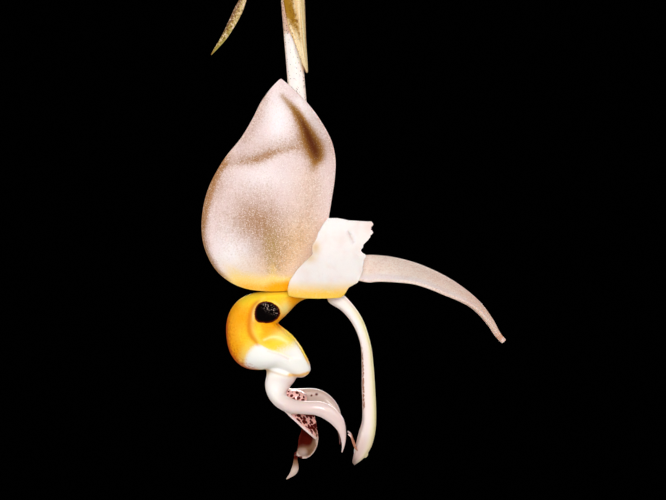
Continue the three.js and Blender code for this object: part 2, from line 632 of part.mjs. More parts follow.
// The end lobe of the lip: a flap, the spoon that it turns into, and a hooked point.
function lipFlap() {
  const near = line([V(-12.4, -3.2, -37), V(-8.7, -4, -40.2), V(-5, -4.2, -43.4), V(-2, -3.6, -46.8)]);
  const far = line([V(-8, 3, -36), V(-3.4, 2.4, -38.6), V(-1.1, 1.4, -42.6), V(-0.7, -1, -47)]);
  const surface = (u, v) => {
    const p = near.getPoint(u).lerp(far.getPoint(u), (v + 1) / 2);
    return p.add(V(-0.9 * (1 - v * v), 0, -0.9 * (1 - v * v))).add(FLOWER);
  };
  return blade(surface, () => 1, 6, 4);
}

function lipSpoon() {
  const shell = (grow, shift) => {
    const ball = new THREE.SphereGeometry(1, 12, 8);
    ball.scale(3.7 + grow, 4.2 + grow, 5.3 + grow);
    ball.rotateY(0.25);
    ball.translate(-4.2, shift, -47.4);
    ball.translate(FLOWER.x, FLOWER.y, FLOWER.z);
    return solid(ball);
  };
  const front = new THREE.BoxGeometry(20, 10, 20);
  front.rotateZ(0.3);
  front.translate(FLOWER.x - 4.2, -6.3, FLOWER.z - 47.4);
  return shell(0, -0.6).subtract(shell(-0.8, -0.9)).subtract(solid(front));
}

const LIP_POINT = [
  [-4.6, -51, -8, -50.6, 0.8, 0.4], [-5.4, -52.6, -8.1, -53, 0.8, -0.2],
  [-6.4, -54.6, -8.6, -55, 0.8, -0.6], [-6.7, -56.2, -9, -56.4, 0.7, -0.9],
  [-7.9, -57.8, -9.5, -57.4, 0.55, -1.1], [-10.2, -59, -10.2, -58.5, 0.3, -1.2],
];

function lip() {
  const pouchPower = (u) => mix(2, 5, smooth(u, 0.3, 0.5));
  const pouch = railBody(POUCH, { steps: 22, sides: 16, outerPower: 2.2, innerPower: pouchPower });
  const hollow = railBody(POUCH_HOLLOW, { steps: 8, sides: 10, outerPower: 2.4, innerPower: () => 5 });
  const parts = [
    railBody(NECK, { steps: 7, sides: 10 }),
    railBody(NEAR_HORN, { steps: 10, sides: 7 }),
    railBody(FAR_HORN, { steps: 10, sides: 7 }),
    lipFlap(),
    lipSpoon(),
    railBody(LIP_POINT, { steps: 6, sides: 6 }),
  ];
  return parts.reduce((sum, part) => sum.add(part), pouch.subtract(hollow));
}

// The column, from the flower's heart to its winged tip.
const COLUMN = [
  [4, -1, 2.6, -2.9, 1.6, 0], [7.8, -4.2, 2.4, -5.4, 2.1, 0],
  [11.1, -8.1, 6.4, -8.3, 2.4, 0], [13, -11.3, 9, -11.2, 2.5, 0],
  [14.3, -14.9, 10.9, -14.6, 2.6, 0], [15.4, -19.2, 12.1, -18.8, 2.9, 0],
  [16.1, -25.2, 12.4, -25, 3.6, 0], [16.5, -31, 12.4, -31, 4.6, 0],
  [16.8, -36.8, 12.6, -36.8, 5.6, 0], [16.8, -42.2, 12.5, -41.8, 6.2, 0],
  [16.2, -46, 11.6, -44.9, 6, 0], [14.8, -49.4, 10.8, -48, 5, 0],
  [12.8, -52.4, 10.2, -50.9, 3.6, 0], [10.4, -54.6, 9.6, -53.6, 1.6, 0],
];
const antherCap = (grow = 0) => {
  const ball = new THREE.SphereGeometry(1, 10, 6);
  ball.scale(1.5 + grow, 1.9 + grow, 2.2 + grow);
  ball.rotateY(0.5);
  ball.translate(FLOWER.x + 10.9, 0, FLOWER.z - 49.6);
  return solid(ball);
};
const COLUMN_TOOTH = [V(13.2, -4, -49.4), V(10.4, -4.4, -47.6), V(8.9, -4, -45.2), V(8.3, -3.8, -44.8)];

function column() {
  const dish = (u) => 0.9 * smooth(u, 0.4, 0.75);
  const body = railBody(COLUMN, { steps: 17, sides: 12, outerPower: 2, innerPower: () => 2.6, dish });
  const tooth = (side) =>
    tube(
      COLUMN_TOOTH.map((p) => V(p.x, -side * p.y, p.z).add(FLOWER)),
      (u) => 0.7 - 0.35 * u,
      5,
    );
  return body.add(tooth(-1)).add(tooth(1)).subtract(antherCap(TOUCH));
}

const heartRoom = heart(TOUCH);
add("lip", clear(lip(), heartRoom), lipOrange);
add("column", clear(column(), heartRoom), columnIvory);
add("anther_cap", antherCap(), columnIvory);
add("sepal_dorsal", clear(dorsalSepal(16, 6), heartRoom), sepalPink);
add("sepal_lateral_near", clear(lateralSepal(-1, 20, 10), heartRoom), sepalPink);
add("sepal_lateral_far", clear(lateralSepal(1, 16, 6), heartRoom), sepalPink);
add("petal_stub_near", clear(petalStub(-1, 1).add(petalClaw(-1)), heartRoom), petalWhite);
add("petal_stub_far", clear(petalStub(1, 0.97).add(petalClaw(1)), heartRoom), petalWhite);

export default root;
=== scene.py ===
"""Looks of a stanhopea orchid that grows in a hanging slatted pot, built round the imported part.

Sizes are millimetres in the part's own frame, +Z up, and become metres when a mesh is made.
The flower is seen from its side along +Y: its lip is on the left and its column on the right.
"""

from __future__ import annotations

import logging
import math
from dataclasses import dataclass, field
from enum import Enum
from typing import Callable, ClassVar, Sequence

import bmesh
import bpy
import numpy as np
from bpy.types import ID, Material, Mesh, NodeSocket, NodeTree, Object
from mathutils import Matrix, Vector

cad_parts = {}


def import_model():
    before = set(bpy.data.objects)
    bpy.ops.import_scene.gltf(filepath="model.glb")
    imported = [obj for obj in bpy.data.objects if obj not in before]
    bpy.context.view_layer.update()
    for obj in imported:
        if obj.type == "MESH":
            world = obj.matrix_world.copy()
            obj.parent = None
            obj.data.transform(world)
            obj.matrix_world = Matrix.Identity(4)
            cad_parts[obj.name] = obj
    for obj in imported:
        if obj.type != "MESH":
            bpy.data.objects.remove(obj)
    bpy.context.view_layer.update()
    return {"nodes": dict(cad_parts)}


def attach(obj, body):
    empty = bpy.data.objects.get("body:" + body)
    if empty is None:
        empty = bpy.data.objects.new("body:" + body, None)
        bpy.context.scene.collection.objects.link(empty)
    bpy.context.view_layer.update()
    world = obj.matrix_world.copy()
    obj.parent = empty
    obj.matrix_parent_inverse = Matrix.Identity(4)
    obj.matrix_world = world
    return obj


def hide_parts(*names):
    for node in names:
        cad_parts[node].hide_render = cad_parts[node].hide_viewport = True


log = logging.getLogger("orchid")

MM = 0.001

# Driving sizes, the same as the part's
TOUCH = 0.3
HOOK_INSIDE = 11
HOOK_WIRE = 1.9
COLLAR_TOP = -50
COLLAR_BOTTOM = -64
COLLAR_RADIUS = 6
WIRE = 1.1
WIRE_IN_COLLAR = 2.7
POT_RIM = -275
SLAT_WIDTH = 12
SLAT_HEIGHT = 10
SLAT_LENGTH = 154
SLAT_PITCH = SLAT_HEIGHT + TOUCH
COURSES = 7
CORNER = 63
POT_FLOOR = POT_RIM - COURSES * SLAT_PITCH + TOUCH
BARK_TOP = POT_RIM - 7
SPIKE_LENGTH = 66
STALK_LENGTH = 106
FLOWER = np.array([8.0, 0.0, POT_FLOOR - SPIKE_LENGTH - STALK_LENGTH])
STALK_TOP = FLOWER + [-10.3, 0, STALK_LENGTH]
BODY = "root"

Array = np.ndarray
Colour = tuple[float, float, float, float]
Marks = dict[str, np.ndarray]
Rows = Sequence[Sequence[float]]
Sockets = dict[str, object]
Surface = Callable[[Array, Array], Array]


# Numbers and curves


def smooth(value: Array, low: float, high: float) -> Array:
    """Rises softly from 0 at low to 1 at high, or falls where low is the larger."""
    share = np.clip((value - low) / (high - low), 0, 1)
    return share * share * (3 - 2 * share)


def bump(distance: Array, width: float) -> Array:
    """A soft hill of height 1 at distance 0."""
    return np.exp(-((distance / width) ** 2))


def mix(first: Array, second: Array, share: Array) -> Array:
    """The value that lies the given share of the way from first to second."""
    return first + (second - first) * share


def shade(red: int, green: int, blue: int) -> Colour:
    """A colour as a screen shows it, from 0 to 255, as the linear one that a shader takes."""
    parts = np.array([red, green, blue]) / 255
    linear = np.where(parts <= 0.04045, parts / 12.92, ((parts + 0.055) / 1.055) ** 2.4)
    return (*(float(part) for part in linear), 1.0)


class Line:
    """A smooth centripetal curve through points, as the part's source draws it."""

    def __init__(self, points: Rows) -> None:
        """Keeps the points, with one more before the first and one after the last."""
        inner = np.asarray(points, float)
        self.spans = len(inner) - 1
        self.points = np.vstack([2 * inner[0] - inner[1], inner, 2 * inner[-1] - inner[-2]])

    def at(self, share: Array) -> Array:
        """Points of the curve.

        Args:
            share: Any array of numbers from 0 at the first point to 1 at the last.

        Returns:
            An array of the same shape with one more axis, for the coordinates.
        """
        place = np.clip(np.asarray(share, float), 0, 1) * self.spans
        span = np.minimum(place.astype(int), self.spans - 1)
        t = (place - span)[..., None]
        p0, p1, p2, p3 = (self.points[span + i] for i in range(4))
        gaps = [np.sum((b - a) ** 2, -1, keepdims=True) ** 0.25 for a, b in ((p0, p1), (p1, p2), (p2, p3))]
        d1 = np.maximum(gaps[1], 1e-4)
        d0 = np.where(gaps[0] < 1e-4, d1, gaps[0])
        d2 = np.where(gaps[2] < 1e-4, d1, gaps[2])
        start = ((p1 - p0) / d0 - (p2 - p0) / (d0 + d1) + (p2 - p1) / d1) * d1
        end = ((p2 - p1) / d1 - (p3 - p1) / (d1 + d2) + (p3 - p2) / d2) * d1
        square, cube = -3 * p1 + 3 * p2 - 2 * start - end, 2 * p1 - 2 * p2 + start + end
        return p1 + start * t + square * t**2 + cube * t**3

    def way(self, share: Array) -> Array:
        """Unit tangents of the curve at the given shares."""
        share = np.asarray(share, float)
        step = self.at(np.minimum(share + 1e-4, 1)) - self.at(np.maximum(share - 1e-4, 0))
        return step / np.linalg.norm(step, axis=-1, keepdims=True)

    def even(self, count: int) -> Array:
        """That many points along the curve, evenly spaced."""
        fine = self.at(np.linspace(0, 1, 2000))
        length = np.concatenate([[0], np.cumsum(np.linalg.norm(np.diff(fine, axis=0), axis=1))])
        wanted = np.linspace(0, length[-1], count)
        return np.stack([np.interp(wanted, length, fine[:, i]) for i in range(fine.shape[1])], 1)


def stroke(x: Array, z: Array, path: Rows) -> Array:
    """Marks a soft brush stroke.

    Args:
        x: Where each place is across.
        z: Where each place is in height.
        path: The stroke's points, each its x, its z and the stroke's half width there.

    Returns:
        1 on the stroke, falling to 0 over its width.
    """
    points = Line(path).at(np.linspace(0, 1, 6 * len(path)))
    best = np.zeros(np.shape(x))
    for (ax, az, from_width), (bx, bz, to_width) in zip(points, points[1:]):
        dx, dz = bx - ax, bz - az
        share = np.clip(((x - ax) * dx + (z - az) * dz) / (dx * dx + dz * dz + 1e-9), 0, 1)
        away = np.hypot(x - ax - share * dx, z - az - share * dz)
        best = np.maximum(best, bump(away, mix(from_width, to_width, share)))
    return best


def patch(x: Array, z: Array, middle: tuple[float, float], size: tuple[float, float]) -> Array:
    """A soft oval mark of height 1 at its middle, with the given half width and half height."""
    return np.exp(-(((x - middle[0]) / size[0]) ** 2) - ((z - middle[1]) / size[1]) ** 2)


# Meshes


def added(name: str, data: ID) -> Object:
    """A new object in the scene that shows the data."""
    made = bpy.data.objects.new(name, data)
    bpy.context.scene.collection.objects.link(made)
    return made


def keep_mark(mesh: Mesh, name: str, values: Array) -> None:
    """Keeps a number on each point of a mesh, for its finish or its tree."""
    mesh.attributes.new(name, "FLOAT", "POINT").data.foreach_set("value", np.asarray(values, np.float32))


@dataclass
class Skin:
    """Points and faces of a shape, with the numbers that are kept on its points for its finish."""

    points: Array
    faces: Array
    marks: Marks = field(default_factory=dict)

    def with_skin(self, other: Skin) -> Skin:
        """This shape and another as one, with 0 for a mark that one of them lacks."""
        blank = [np.zeros(len(part.points)) for part in (self, other)]
        marks = {
            name: np.concatenate([self.marks.get(name, blank[0]), other.marks.get(name, blank[1])])
            for name in sorted({*self.marks, *other.marks})
        }
        faces = [*self.faces, *(tuple(i + len(self.points) for i in face) for face in other.faces)]
        return Skin(np.vstack([self.points, other.points]), faces, marks)

    def mesh(self, name: str) -> Mesh:
        """The shape as a smooth mesh in metres."""
        made = bpy.data.meshes.new(name)
        made.from_pydata((self.points * MM).tolist(), [], [tuple(map(int, face)) for face in self.faces])
        for mark, values in self.marks.items():
            keep_mark(made, mark, values)
        made.shade_smooth()
        return made

    def piece(self, name: str, finish: Finish) -> Object:
        """The shape as an object of the scene that wears the finish."""
        made = added(name, self.mesh(name))
        made.data.materials.append(finish.material())
        return made


def skin_of(mesh: Mesh) -> Skin:
    """The points, in millimetres, and faces of a mesh that is in metres."""
    points = np.empty(len(mesh.vertices) * 3, np.float32)
    mesh.vertices.foreach_get("co", points)
    return Skin(points.reshape(-1, 3).astype(float) / MM, [tuple(face.vertices) for face in mesh.polygons])


def shell(surface: Surface, thickness: Callable[[Array, Array], Array], rows: int, columns: int,
          rim: float = 0.03, ends: float = 0.01) -> Skin:
    """A closed blade with rounded edges.

    Args:
        surface: Gives the blade's middle points for arrays u, from 0 at the base to 1 at the tip,
            and v, from -1 to 1 across.
        thickness: Gives the blade's thickness for the same arrays.
        rows: Faces along the blade.
        columns: Faces across it.
        rim: Share of each half that is rounded off at the sides.
        ends: Share of the length that is rounded off at the base and the tip.

    Returns:
        The blade, with the marks u and v.
    """
    t = np.linspace(0, 1, rows + 1)
    s = np.linspace(-1, 1, columns + 1)
    u, v = np.meshgrid(t - 0.1 * np.sin(2 * np.pi * t), 1.5 * s - 0.5 * s**3, indexing="ij")
    middle = surface(u, v)
    step = 1e-3
    along = surface(np.minimum(u + step, 1), v) - surface(np.maximum(u - step, 0), v)
    across = surface(u, np.minimum(v + step, 1)) - surface(u, np.maximum(v - step, -1))
    normal = np.cross(along, across)
    normal /= np.linalg.norm(normal, axis=-1, keepdims=True) + 1e-12
    near_side = np.clip((np.abs(v) - 1 + rim) / rim, 0, 1)
    near_end = np.clip(np.maximum(ends - u, u - 1 + ends) / ends, 0, 1)
    full = np.sqrt(np.clip(1 - near_side**2, 0, 1) * np.clip(1 - near_end**2, 0, 1))
    offset = normal * (thickness(u, v) * full / 2)[..., None]
    front = np.arange(u.size).reshape(u.shape)
    back = front.copy()
    inner = (slice(1, -1), slice(1, -1))
    back[inner] = u.size + np.arange((rows - 1) * (columns - 1)).reshape(rows - 1, columns - 1)
    points = np.vstack([(middle + offset).reshape(-1, 3), (middle - offset)[inner].reshape(-1, 3)])
    quads = np.stack([front[:-1, :-1], front[1:, :-1], front[1:, 1:], front[:-1, 1:]], -1)
    under = np.stack([back[:-1, :-1], back[:-1, 1:], back[1:, 1:], back[1:, :-1]], -1)
    faces = np.vstack([quads.reshape(-1, 4), under.reshape(-1, 4)])
    marks = {n: np.concatenate([w.ravel(), w[inner].ravel()]) for n, w in (("u", u), ("v", v))}
    return Skin(points, faces, marks)


def loft(rings: Array) -> Skin:
    """A closed body through rings of points, with a point to close each end.

    Args:
        rings: An array of rings, of points in each ring, and of coordinates.

    Returns:
        The body, with the marks u along it and turn round it, both from 0 to 1.
    """
    count, sides = rings.shape[:2]
    here = np.arange(count * sides).reshape(count, sides)
    beside = np.roll(here, -1, 1)
    quads = np.stack([here[:-1], beside[:-1], beside[1:], here[1:]], -1).reshape(-1, 4)
    first, last = count * sides, count * sides + 1
    caps = [(first, int(b), int(a)) for a, b in zip(here[0], beside[0])]
    caps += [(last, int(a), int(b)) for a, b in zip(here[-1], beside[-1])]
    points = np.vstack([rings.reshape(-1, 3), rings[0].mean(0), rings[-1].mean(0)])
    u, turn = np.meshgrid(np.linspace(0, 1, count), np.arange(sides) / sides, indexing="ij")
    marks = {"u": np.append(u.ravel(), [0, 1]), "turn": np.append(turn.ravel(), [0, 0])}
    made = Skin(points, [*map(tuple, quads.tolist()), *caps], marks)
    if volume(made) < 0:
        made.faces = [face[::-1] for face in made.faces]
    return made


def volume(skin: Skin) -> float:
    """The volume that the faces enclose, below 0 where they point inwards."""
    total = 0.0
    for face in skin.faces:
        corners = skin.points[list(face)]
        for b, c in zip(corners[1:], corners[2:]):
            total += float(np.dot(corners[0], np.cross(b, c)))
    return total / 6


def tube(points: Array, radius: Callable[[Array], Array], sides: int) -> Array:
    """Rings round a line, whose radius follows the share of the way along it."""
    ahead = np.vstack([points[1:], points[-1:]]) - np.vstack([points[:1], points[:-1]])
    ahead /= np.linalg.norm(ahead, axis=1, keepdims=True)
    across = np.cross(ahead[0], [0, 1, 0] if abs(ahead[0][1]) < 0.9 else [1, 0, 0])
    angles = np.linspace(0, 2 * np.pi, sides, endpoint=False)[:, None]
    rings = []
    for share, point, way in zip(np.linspace(0, 1, len(points)), points, ahead):
        across = across - way * np.dot(across, way)
        across /= np.linalg.norm(across)
        other = np.cross(way, across)
        rings.append(point + radius(share) * (np.cos(angles) * across + np.sin(angles) * other))
    return np.array(rings)


def ball(middle: Array, size: Sequence[float], tilt: float, rings: int, sides: int) -> Skin:
    """An oval body, tilted about Y by an angle in radians."""
    lifts = np.linspace(-np.pi / 2, np.pi / 2, rings + 2)[1:-1]
    lift, turn = np.meshgrid(lifts, np.arange(sides) * 2 * np.pi / sides, indexing="ij")
    unit = np.stack([np.cos(lift) * np.cos(turn), np.cos(lift) * np.sin(turn), np.sin(lift)], -1)
    x, y, z = (unit * np.asarray(size)).transpose(2, 0, 1)
    turned = np.stack([x * np.cos(tilt) + z * np.sin(tilt), y, z * np.cos(tilt) - x * np.sin(tilt)], -1)
    return loft(turned + middle)


@dataclass(frozen=True)
class RailBody:
    """A closed body between two edge lines in the flower's side view.

    A station is the outer edge's x and z, the inner edge's x and z, the half depth and the middle's y, or 0.
    """

    stations: Rows
    steps: int
    sides: int
    outer_power: float = 2
    inner_power: Callable[[Array], Array] = lambda u: 2
    dish: Callable[[Array], Array] = lambda u: 0

    def skin(self) -> Skin:
        """The body's skin. The powers square off its section, and dish hollows its inner side."""
        rows = np.array([[*station, 0][:6] for station in self.stations], float)
        outer, inner = (Line(np.stack([rows[:, i], rows[:, 5], rows[:, i + 1]], 1)) for i in (0, 2))
        depth = Line(np.stack([np.arange(len(rows)), rows[:, 4]], 1))
        turn = np.linspace(0, 2 * np.pi, self.sides, endpoint=False)
        c, s = np.cos(turn), np.sin(turn)
        rings = []
        for u in np.linspace(0, 1, self.steps + 1):
            start, end = outer.at(u), inner.at(u)
            power = np.where(c > 0, self.outer_power, self.inner_power(u))
            size = (np.abs(c) ** power + np.abs(s) ** power) ** (-1 / power)
            reach = c * size + np.where(c < 0, self.dish(u) * np.clip(1 - (s * size / 0.75) ** 2, 0, 1), 0)
            side = np.stack([0 * s, max(depth.at(u)[1], 0.3) * s * size, 0 * s], 1)
            rings.append((start + end) / 2 + reach[:, None] * (start - end) / 2 + side)
        return loft(np.array(rings) + FLOWER)


# Node trees


class Wire:
    """An output of a node. Reckoning with it adds Math nodes to its tree."""

    def __init__(self, graph: Graph, socket: NodeSocket) -> None:
        """Keeps the socket with the tree's graph."""
        self.graph = graph
        self.socket = socket

    def __add__(self, other: float | Wire) -> Wire:
        """The sum of the two."""
        return self.graph.math("ADD", self, other)

    def __sub__(self, other: float | Wire) -> Wire:
        """This less the other."""
        return self.graph.math("SUBTRACT", self, other)

    def __rsub__(self, other: float | Wire) -> Wire:
        """The other less this."""
        return self.graph.math("SUBTRACT", other, self)

    def __mul__(self, other: float | Wire) -> Wire:
        """The product of the two."""
        return self.graph.math("MULTIPLY", self, other)

    def __rtruediv__(self, other: float | Wire) -> Wire:
        """The other divided by this."""
        return self.graph.math("DIVIDE", other, self)

    __radd__ = __add__
    __rmul__ = __mul__


class Graph:
    """Adds nodes to a tree and links them."""

    def __init__(self, tree: NodeTree) -> None:
        """Starts on an empty tree."""
        self.tree = tree
        tree.nodes.clear()

    def node(self, kind: str, inputs: dict | None = None, **settings: object) -> Callable[..., Wire]:
        """Adds one node.

        Args:
            kind: The node's type.
            inputs: The numbers or wires of its sockets, by name or index. A socket that joins takes a list.
            settings: Its properties, set first.

        Returns:
            A function that gives the wire of an output by name or index.
        """
        made = self.tree.nodes.new(kind)
        for name, value in settings.items():
            setattr(made, name, value)
        for name, value in (inputs or {}).items():
            wires = value if isinstance(value, list) else [value]
            if not isinstance(wires[0], Wire):
                made.inputs[name].default_value = value
                continue
            for wire in wires:
                self.tree.links.new(wire.socket, made.inputs[name])
        return lambda output=0: Wire(self, made.outputs[output])

    def math(self, operation: str, *values: float | Wire) -> Wire:
        """Adds a Math node and gives its result."""
        return self.node("ShaderNodeMath", dict(enumerate(values)), operation=operation)()

    def vector(self, operation: str, *values: object) -> Wire:
        """Adds a Vector Math node and gives its vector."""
        return self.node("ShaderNodeVectorMath", dict(enumerate(values)), operation=operation)()

    def scaled(self, vector: Wire, factor: float | Wire) -> Wire:
        """A vector times a number."""
        return self.node("ShaderNodeVectorMath", {0: vector, "Scale": factor}, operation="SCALE")()

    def step(self, value: Wire, low: float, high: float) -> Wire:
        """Rises softly from 0 where the value is low to 1 where it is high."""
        if low > high:
            return 1 - self.step(value, high, low)
        inputs = {"Value": value, 1: low, 2: high}
        return self.node("ShaderNodeMapRange", inputs, interpolation_type="SMOOTHSTEP")()


class Shading(Graph):
    """The nodes of one material."""

    def place(self) -> Wire:
        """The point's place on the object, in metres."""
        return self.node("ShaderNodeTexCoord")("Object")

    def mark(self, name: str) -> Wire:
        """A number that the mesh keeps on its points."""
        return self.node("ShaderNodeAttribute", attribute_name=name)("Fac")

    def along(self, first: Wire, second: Wire, third: float | Wire = 0.0) -> Wire:
        """A place made of two or three numbers."""
        return self.node("ShaderNodeCombineXYZ", {0: first, 1: second, 2: third})()

    def noise(self, size: float, detail: float = 2, rough: float = 0.5, place: Wire | None = None) -> Wire:
        """Soft noise from 0 to 1, whose lumps have the given size in millimetres, or in units of place."""
        inputs = {"Detail": detail, "Roughness": rough, "Scale": 1 / size if place else 1 / (size * MM)}
        return self.node("ShaderNodeTexNoise", {**inputs, "Vector": place or self.place()})("Fac")

    def cells(self, size: float, output: str = "Distance") -> Wire:
        """How far each point is from the middle of its cell, in cells of the given size."""
        return self.node("ShaderNodeTexVoronoi", {"Scale": 1 / (size * MM), "Vector": self.place()})(output)

    def blend(self, share: float | Wire, first: Colour | Wire, second: Colour | Wire) -> Wire:
        """A colour the given share of the way from first to second."""
        return self.node("ShaderNodeMix", {0: share, 6: first, 7: second}, data_type="RGBA")(2)

    def layered(self, colour: Colour | Wire, *layers: tuple[str | float | Wire, Colour | Wire]) -> Wire:
        """A colour under layers, each the share that it covers, or that share's mark, and its colour."""
        for share, paint in layers:
            colour = self.blend(self.mark(share) if isinstance(share, str) else share, colour, paint)
        return colour

    def relief(self, height: Wire, depth: float) -> Wire:
        """A normal that shows a height from 0 to 1, of the given depth in millimetres."""
        return self.node("ShaderNodeBump", {"Height": height, "Distance": depth * MM})()


@dataclass(frozen=True)
class Finish:
    """A material. Each kind says in surface() what the sockets of its shader get."""

    name: str

    def surface(self, s: Shading) -> Sockets:
        """What the shader's sockets get."""
        raise NotImplementedError

    def material(self) -> Material:
        """The material, made once."""
        made = bpy.data.materials.get(self.name)
        if made is None:
            made = bpy.data.materials.new(self.name)
            made.use_nodes = True
            s = Shading(made.node_tree)
            shader = s.node("ShaderNodeBsdfPrincipled", self.surface(s))()
            s.node("ShaderNodeOutputMaterial", {"Surface": shader})
        return made


@dataclass(frozen=True)
class SepalFinish(Finish):
    """Beige pink sepal with a fine sparkling grain, long faint veins, painted shade in its creases and
    hollows, and painted light on its bulges.
    """

    pink: Colour = shade(235, 213, 210)
    # pale is painted light on the lateral sepals' lit bulges, and the paler margin band and tip of the dorsal
    # sepal
    pale: Colour = shade(252, 242, 243)
    # tan darkens the grain and flecks; where the lateral sepals' tan mark is high, it is painted shade
    tan: Colour = shade(176, 130, 88)
    # olive is painted shade low in the lateral sepals' belly
    olive: Colour = shade(178, 150, 70)
    # brown and golden are painted shadow in the hollow under the lateral sepals' curled right margin
    brown: Colour = shade(98, 42, 2)
    golden: Colour = shade(168, 122, 62)
    peach: Colour = shade(250, 214, 172)
    yellow: Colour = shade(255, 220, 136)
    orange: Colour = shade(255, 178, 10)
    spark: Colour = shade(255, 246, 238)

    def surface(self, s: Shading) -> Sockets:
        """Grain and veins over the colours that the marks place."""
        grain = s.noise(0.5, 2, 0.8)
        veins = s.noise(1.0, 2, 0.6, s.along(s.mark("v") * 26, s.mark("u") * 7))
        cloud = s.noise(4, 3, 0.6)
        tan = s.mark("tan") + (cloud - 0.5) * 0.35 + (veins - 0.5) * 0.2 + (grain - 0.5) * 1.1
        # Painted shadow in the hollow, broken by the grain.
        hollow = s.mark("hollow") + (grain - 0.5) * 0.25 * s.mark("hollow")
        blush = s.mark("blush") * (0.7 + grain * 0.6)
        flecks = s.step(s.noise(0.8, 2, 0.7), 0.48, 0.62) * s.mark("flecks")
        sparkle = s.step(s.cells(0.45), 0.42, 0.16) * s.step(s.noise(1.0), 0.36, 0.52)
        plain = s.math("MAXIMUM", s.mark("hollow"), s.mark("blush"))
        colour = s.layered(
            self.pink,
            # painted light on the lateral sepals' lit bulges
            ("pale", self.pale),
            ("warm", self.peach),
            # the grain, and painted shade where the lateral sepals' tan mark is high
            (s.step(tan, -0.1, 1.1), self.tan),
            # painted shade low in the lateral sepal's belly
            (s.mark("olive") * s.step(veins + grain, 0.7, 1.2), self.olive),
            # painted shadow in the hollow, golden at its edge and brown at its core
            (s.step(hollow, 0.0, 0.55), self.golden),
            (s.step(hollow, 0.32, 1.05), self.brown),
            (s.step(blush, 0.0, 0.75), self.yellow),
            (s.step(blush, 0.6, 1.3), self.orange),
            (flecks * 0.35, self.tan),
            (sparkle * 0.65 * (1 - plain), self.spark),
        )
        return {
            "Base Color": colour,
            "Roughness": 0.55 + grain * 0.15,
            "Normal": s.relief(grain * 0.6 + veins * 0.4, 0.1),
            "Subsurface Weight": 0.15,
            "Subsurface Radius": (1.0, 0.5, 0.3),
            "Subsurface Scale": 0.001,
            "Specular IOR Level": 0.15,
        }


@dataclass(frozen=True)
class PetalFinish(Finish):
    """White torn petal base with beige translucent patches and a yellow blush at its foot."""

    white: Colour = shade(248, 240, 237)
    beige: Colour = shade(232, 200, 158)
    pink: Colour = shade(238, 205, 196)
    yellow: Colour = shade(255, 206, 88)

    def surface(self, s: Shading) -> Sockets:
        """Faint cells and veins over the white."""
        grain = s.noise(0.6, 2, 0.6)
        colour = s.layered(
            self.white,
            (s.step(s.noise(3.5), 0.4, 0.8) * 0.25, self.pink),
            ("patch", self.beige),
            ("wrinkle", self.pink),
            (s.mark("blush") * (0.75 + grain * 0.5), self.yellow),
        )
        return {
            "Base Color": colour,
            "Roughness": 0.45 + grain * 0.1,
            "Normal": s.relief(grain + s.noise(2.5), 0.1),
            "Subsurface Weight": 0.2,
            "Subsurface Radius": (1.0, 0.6, 0.4),
            "Subsurface Scale": 0.0015,
            "Specular IOR Level": 0.35,
        }


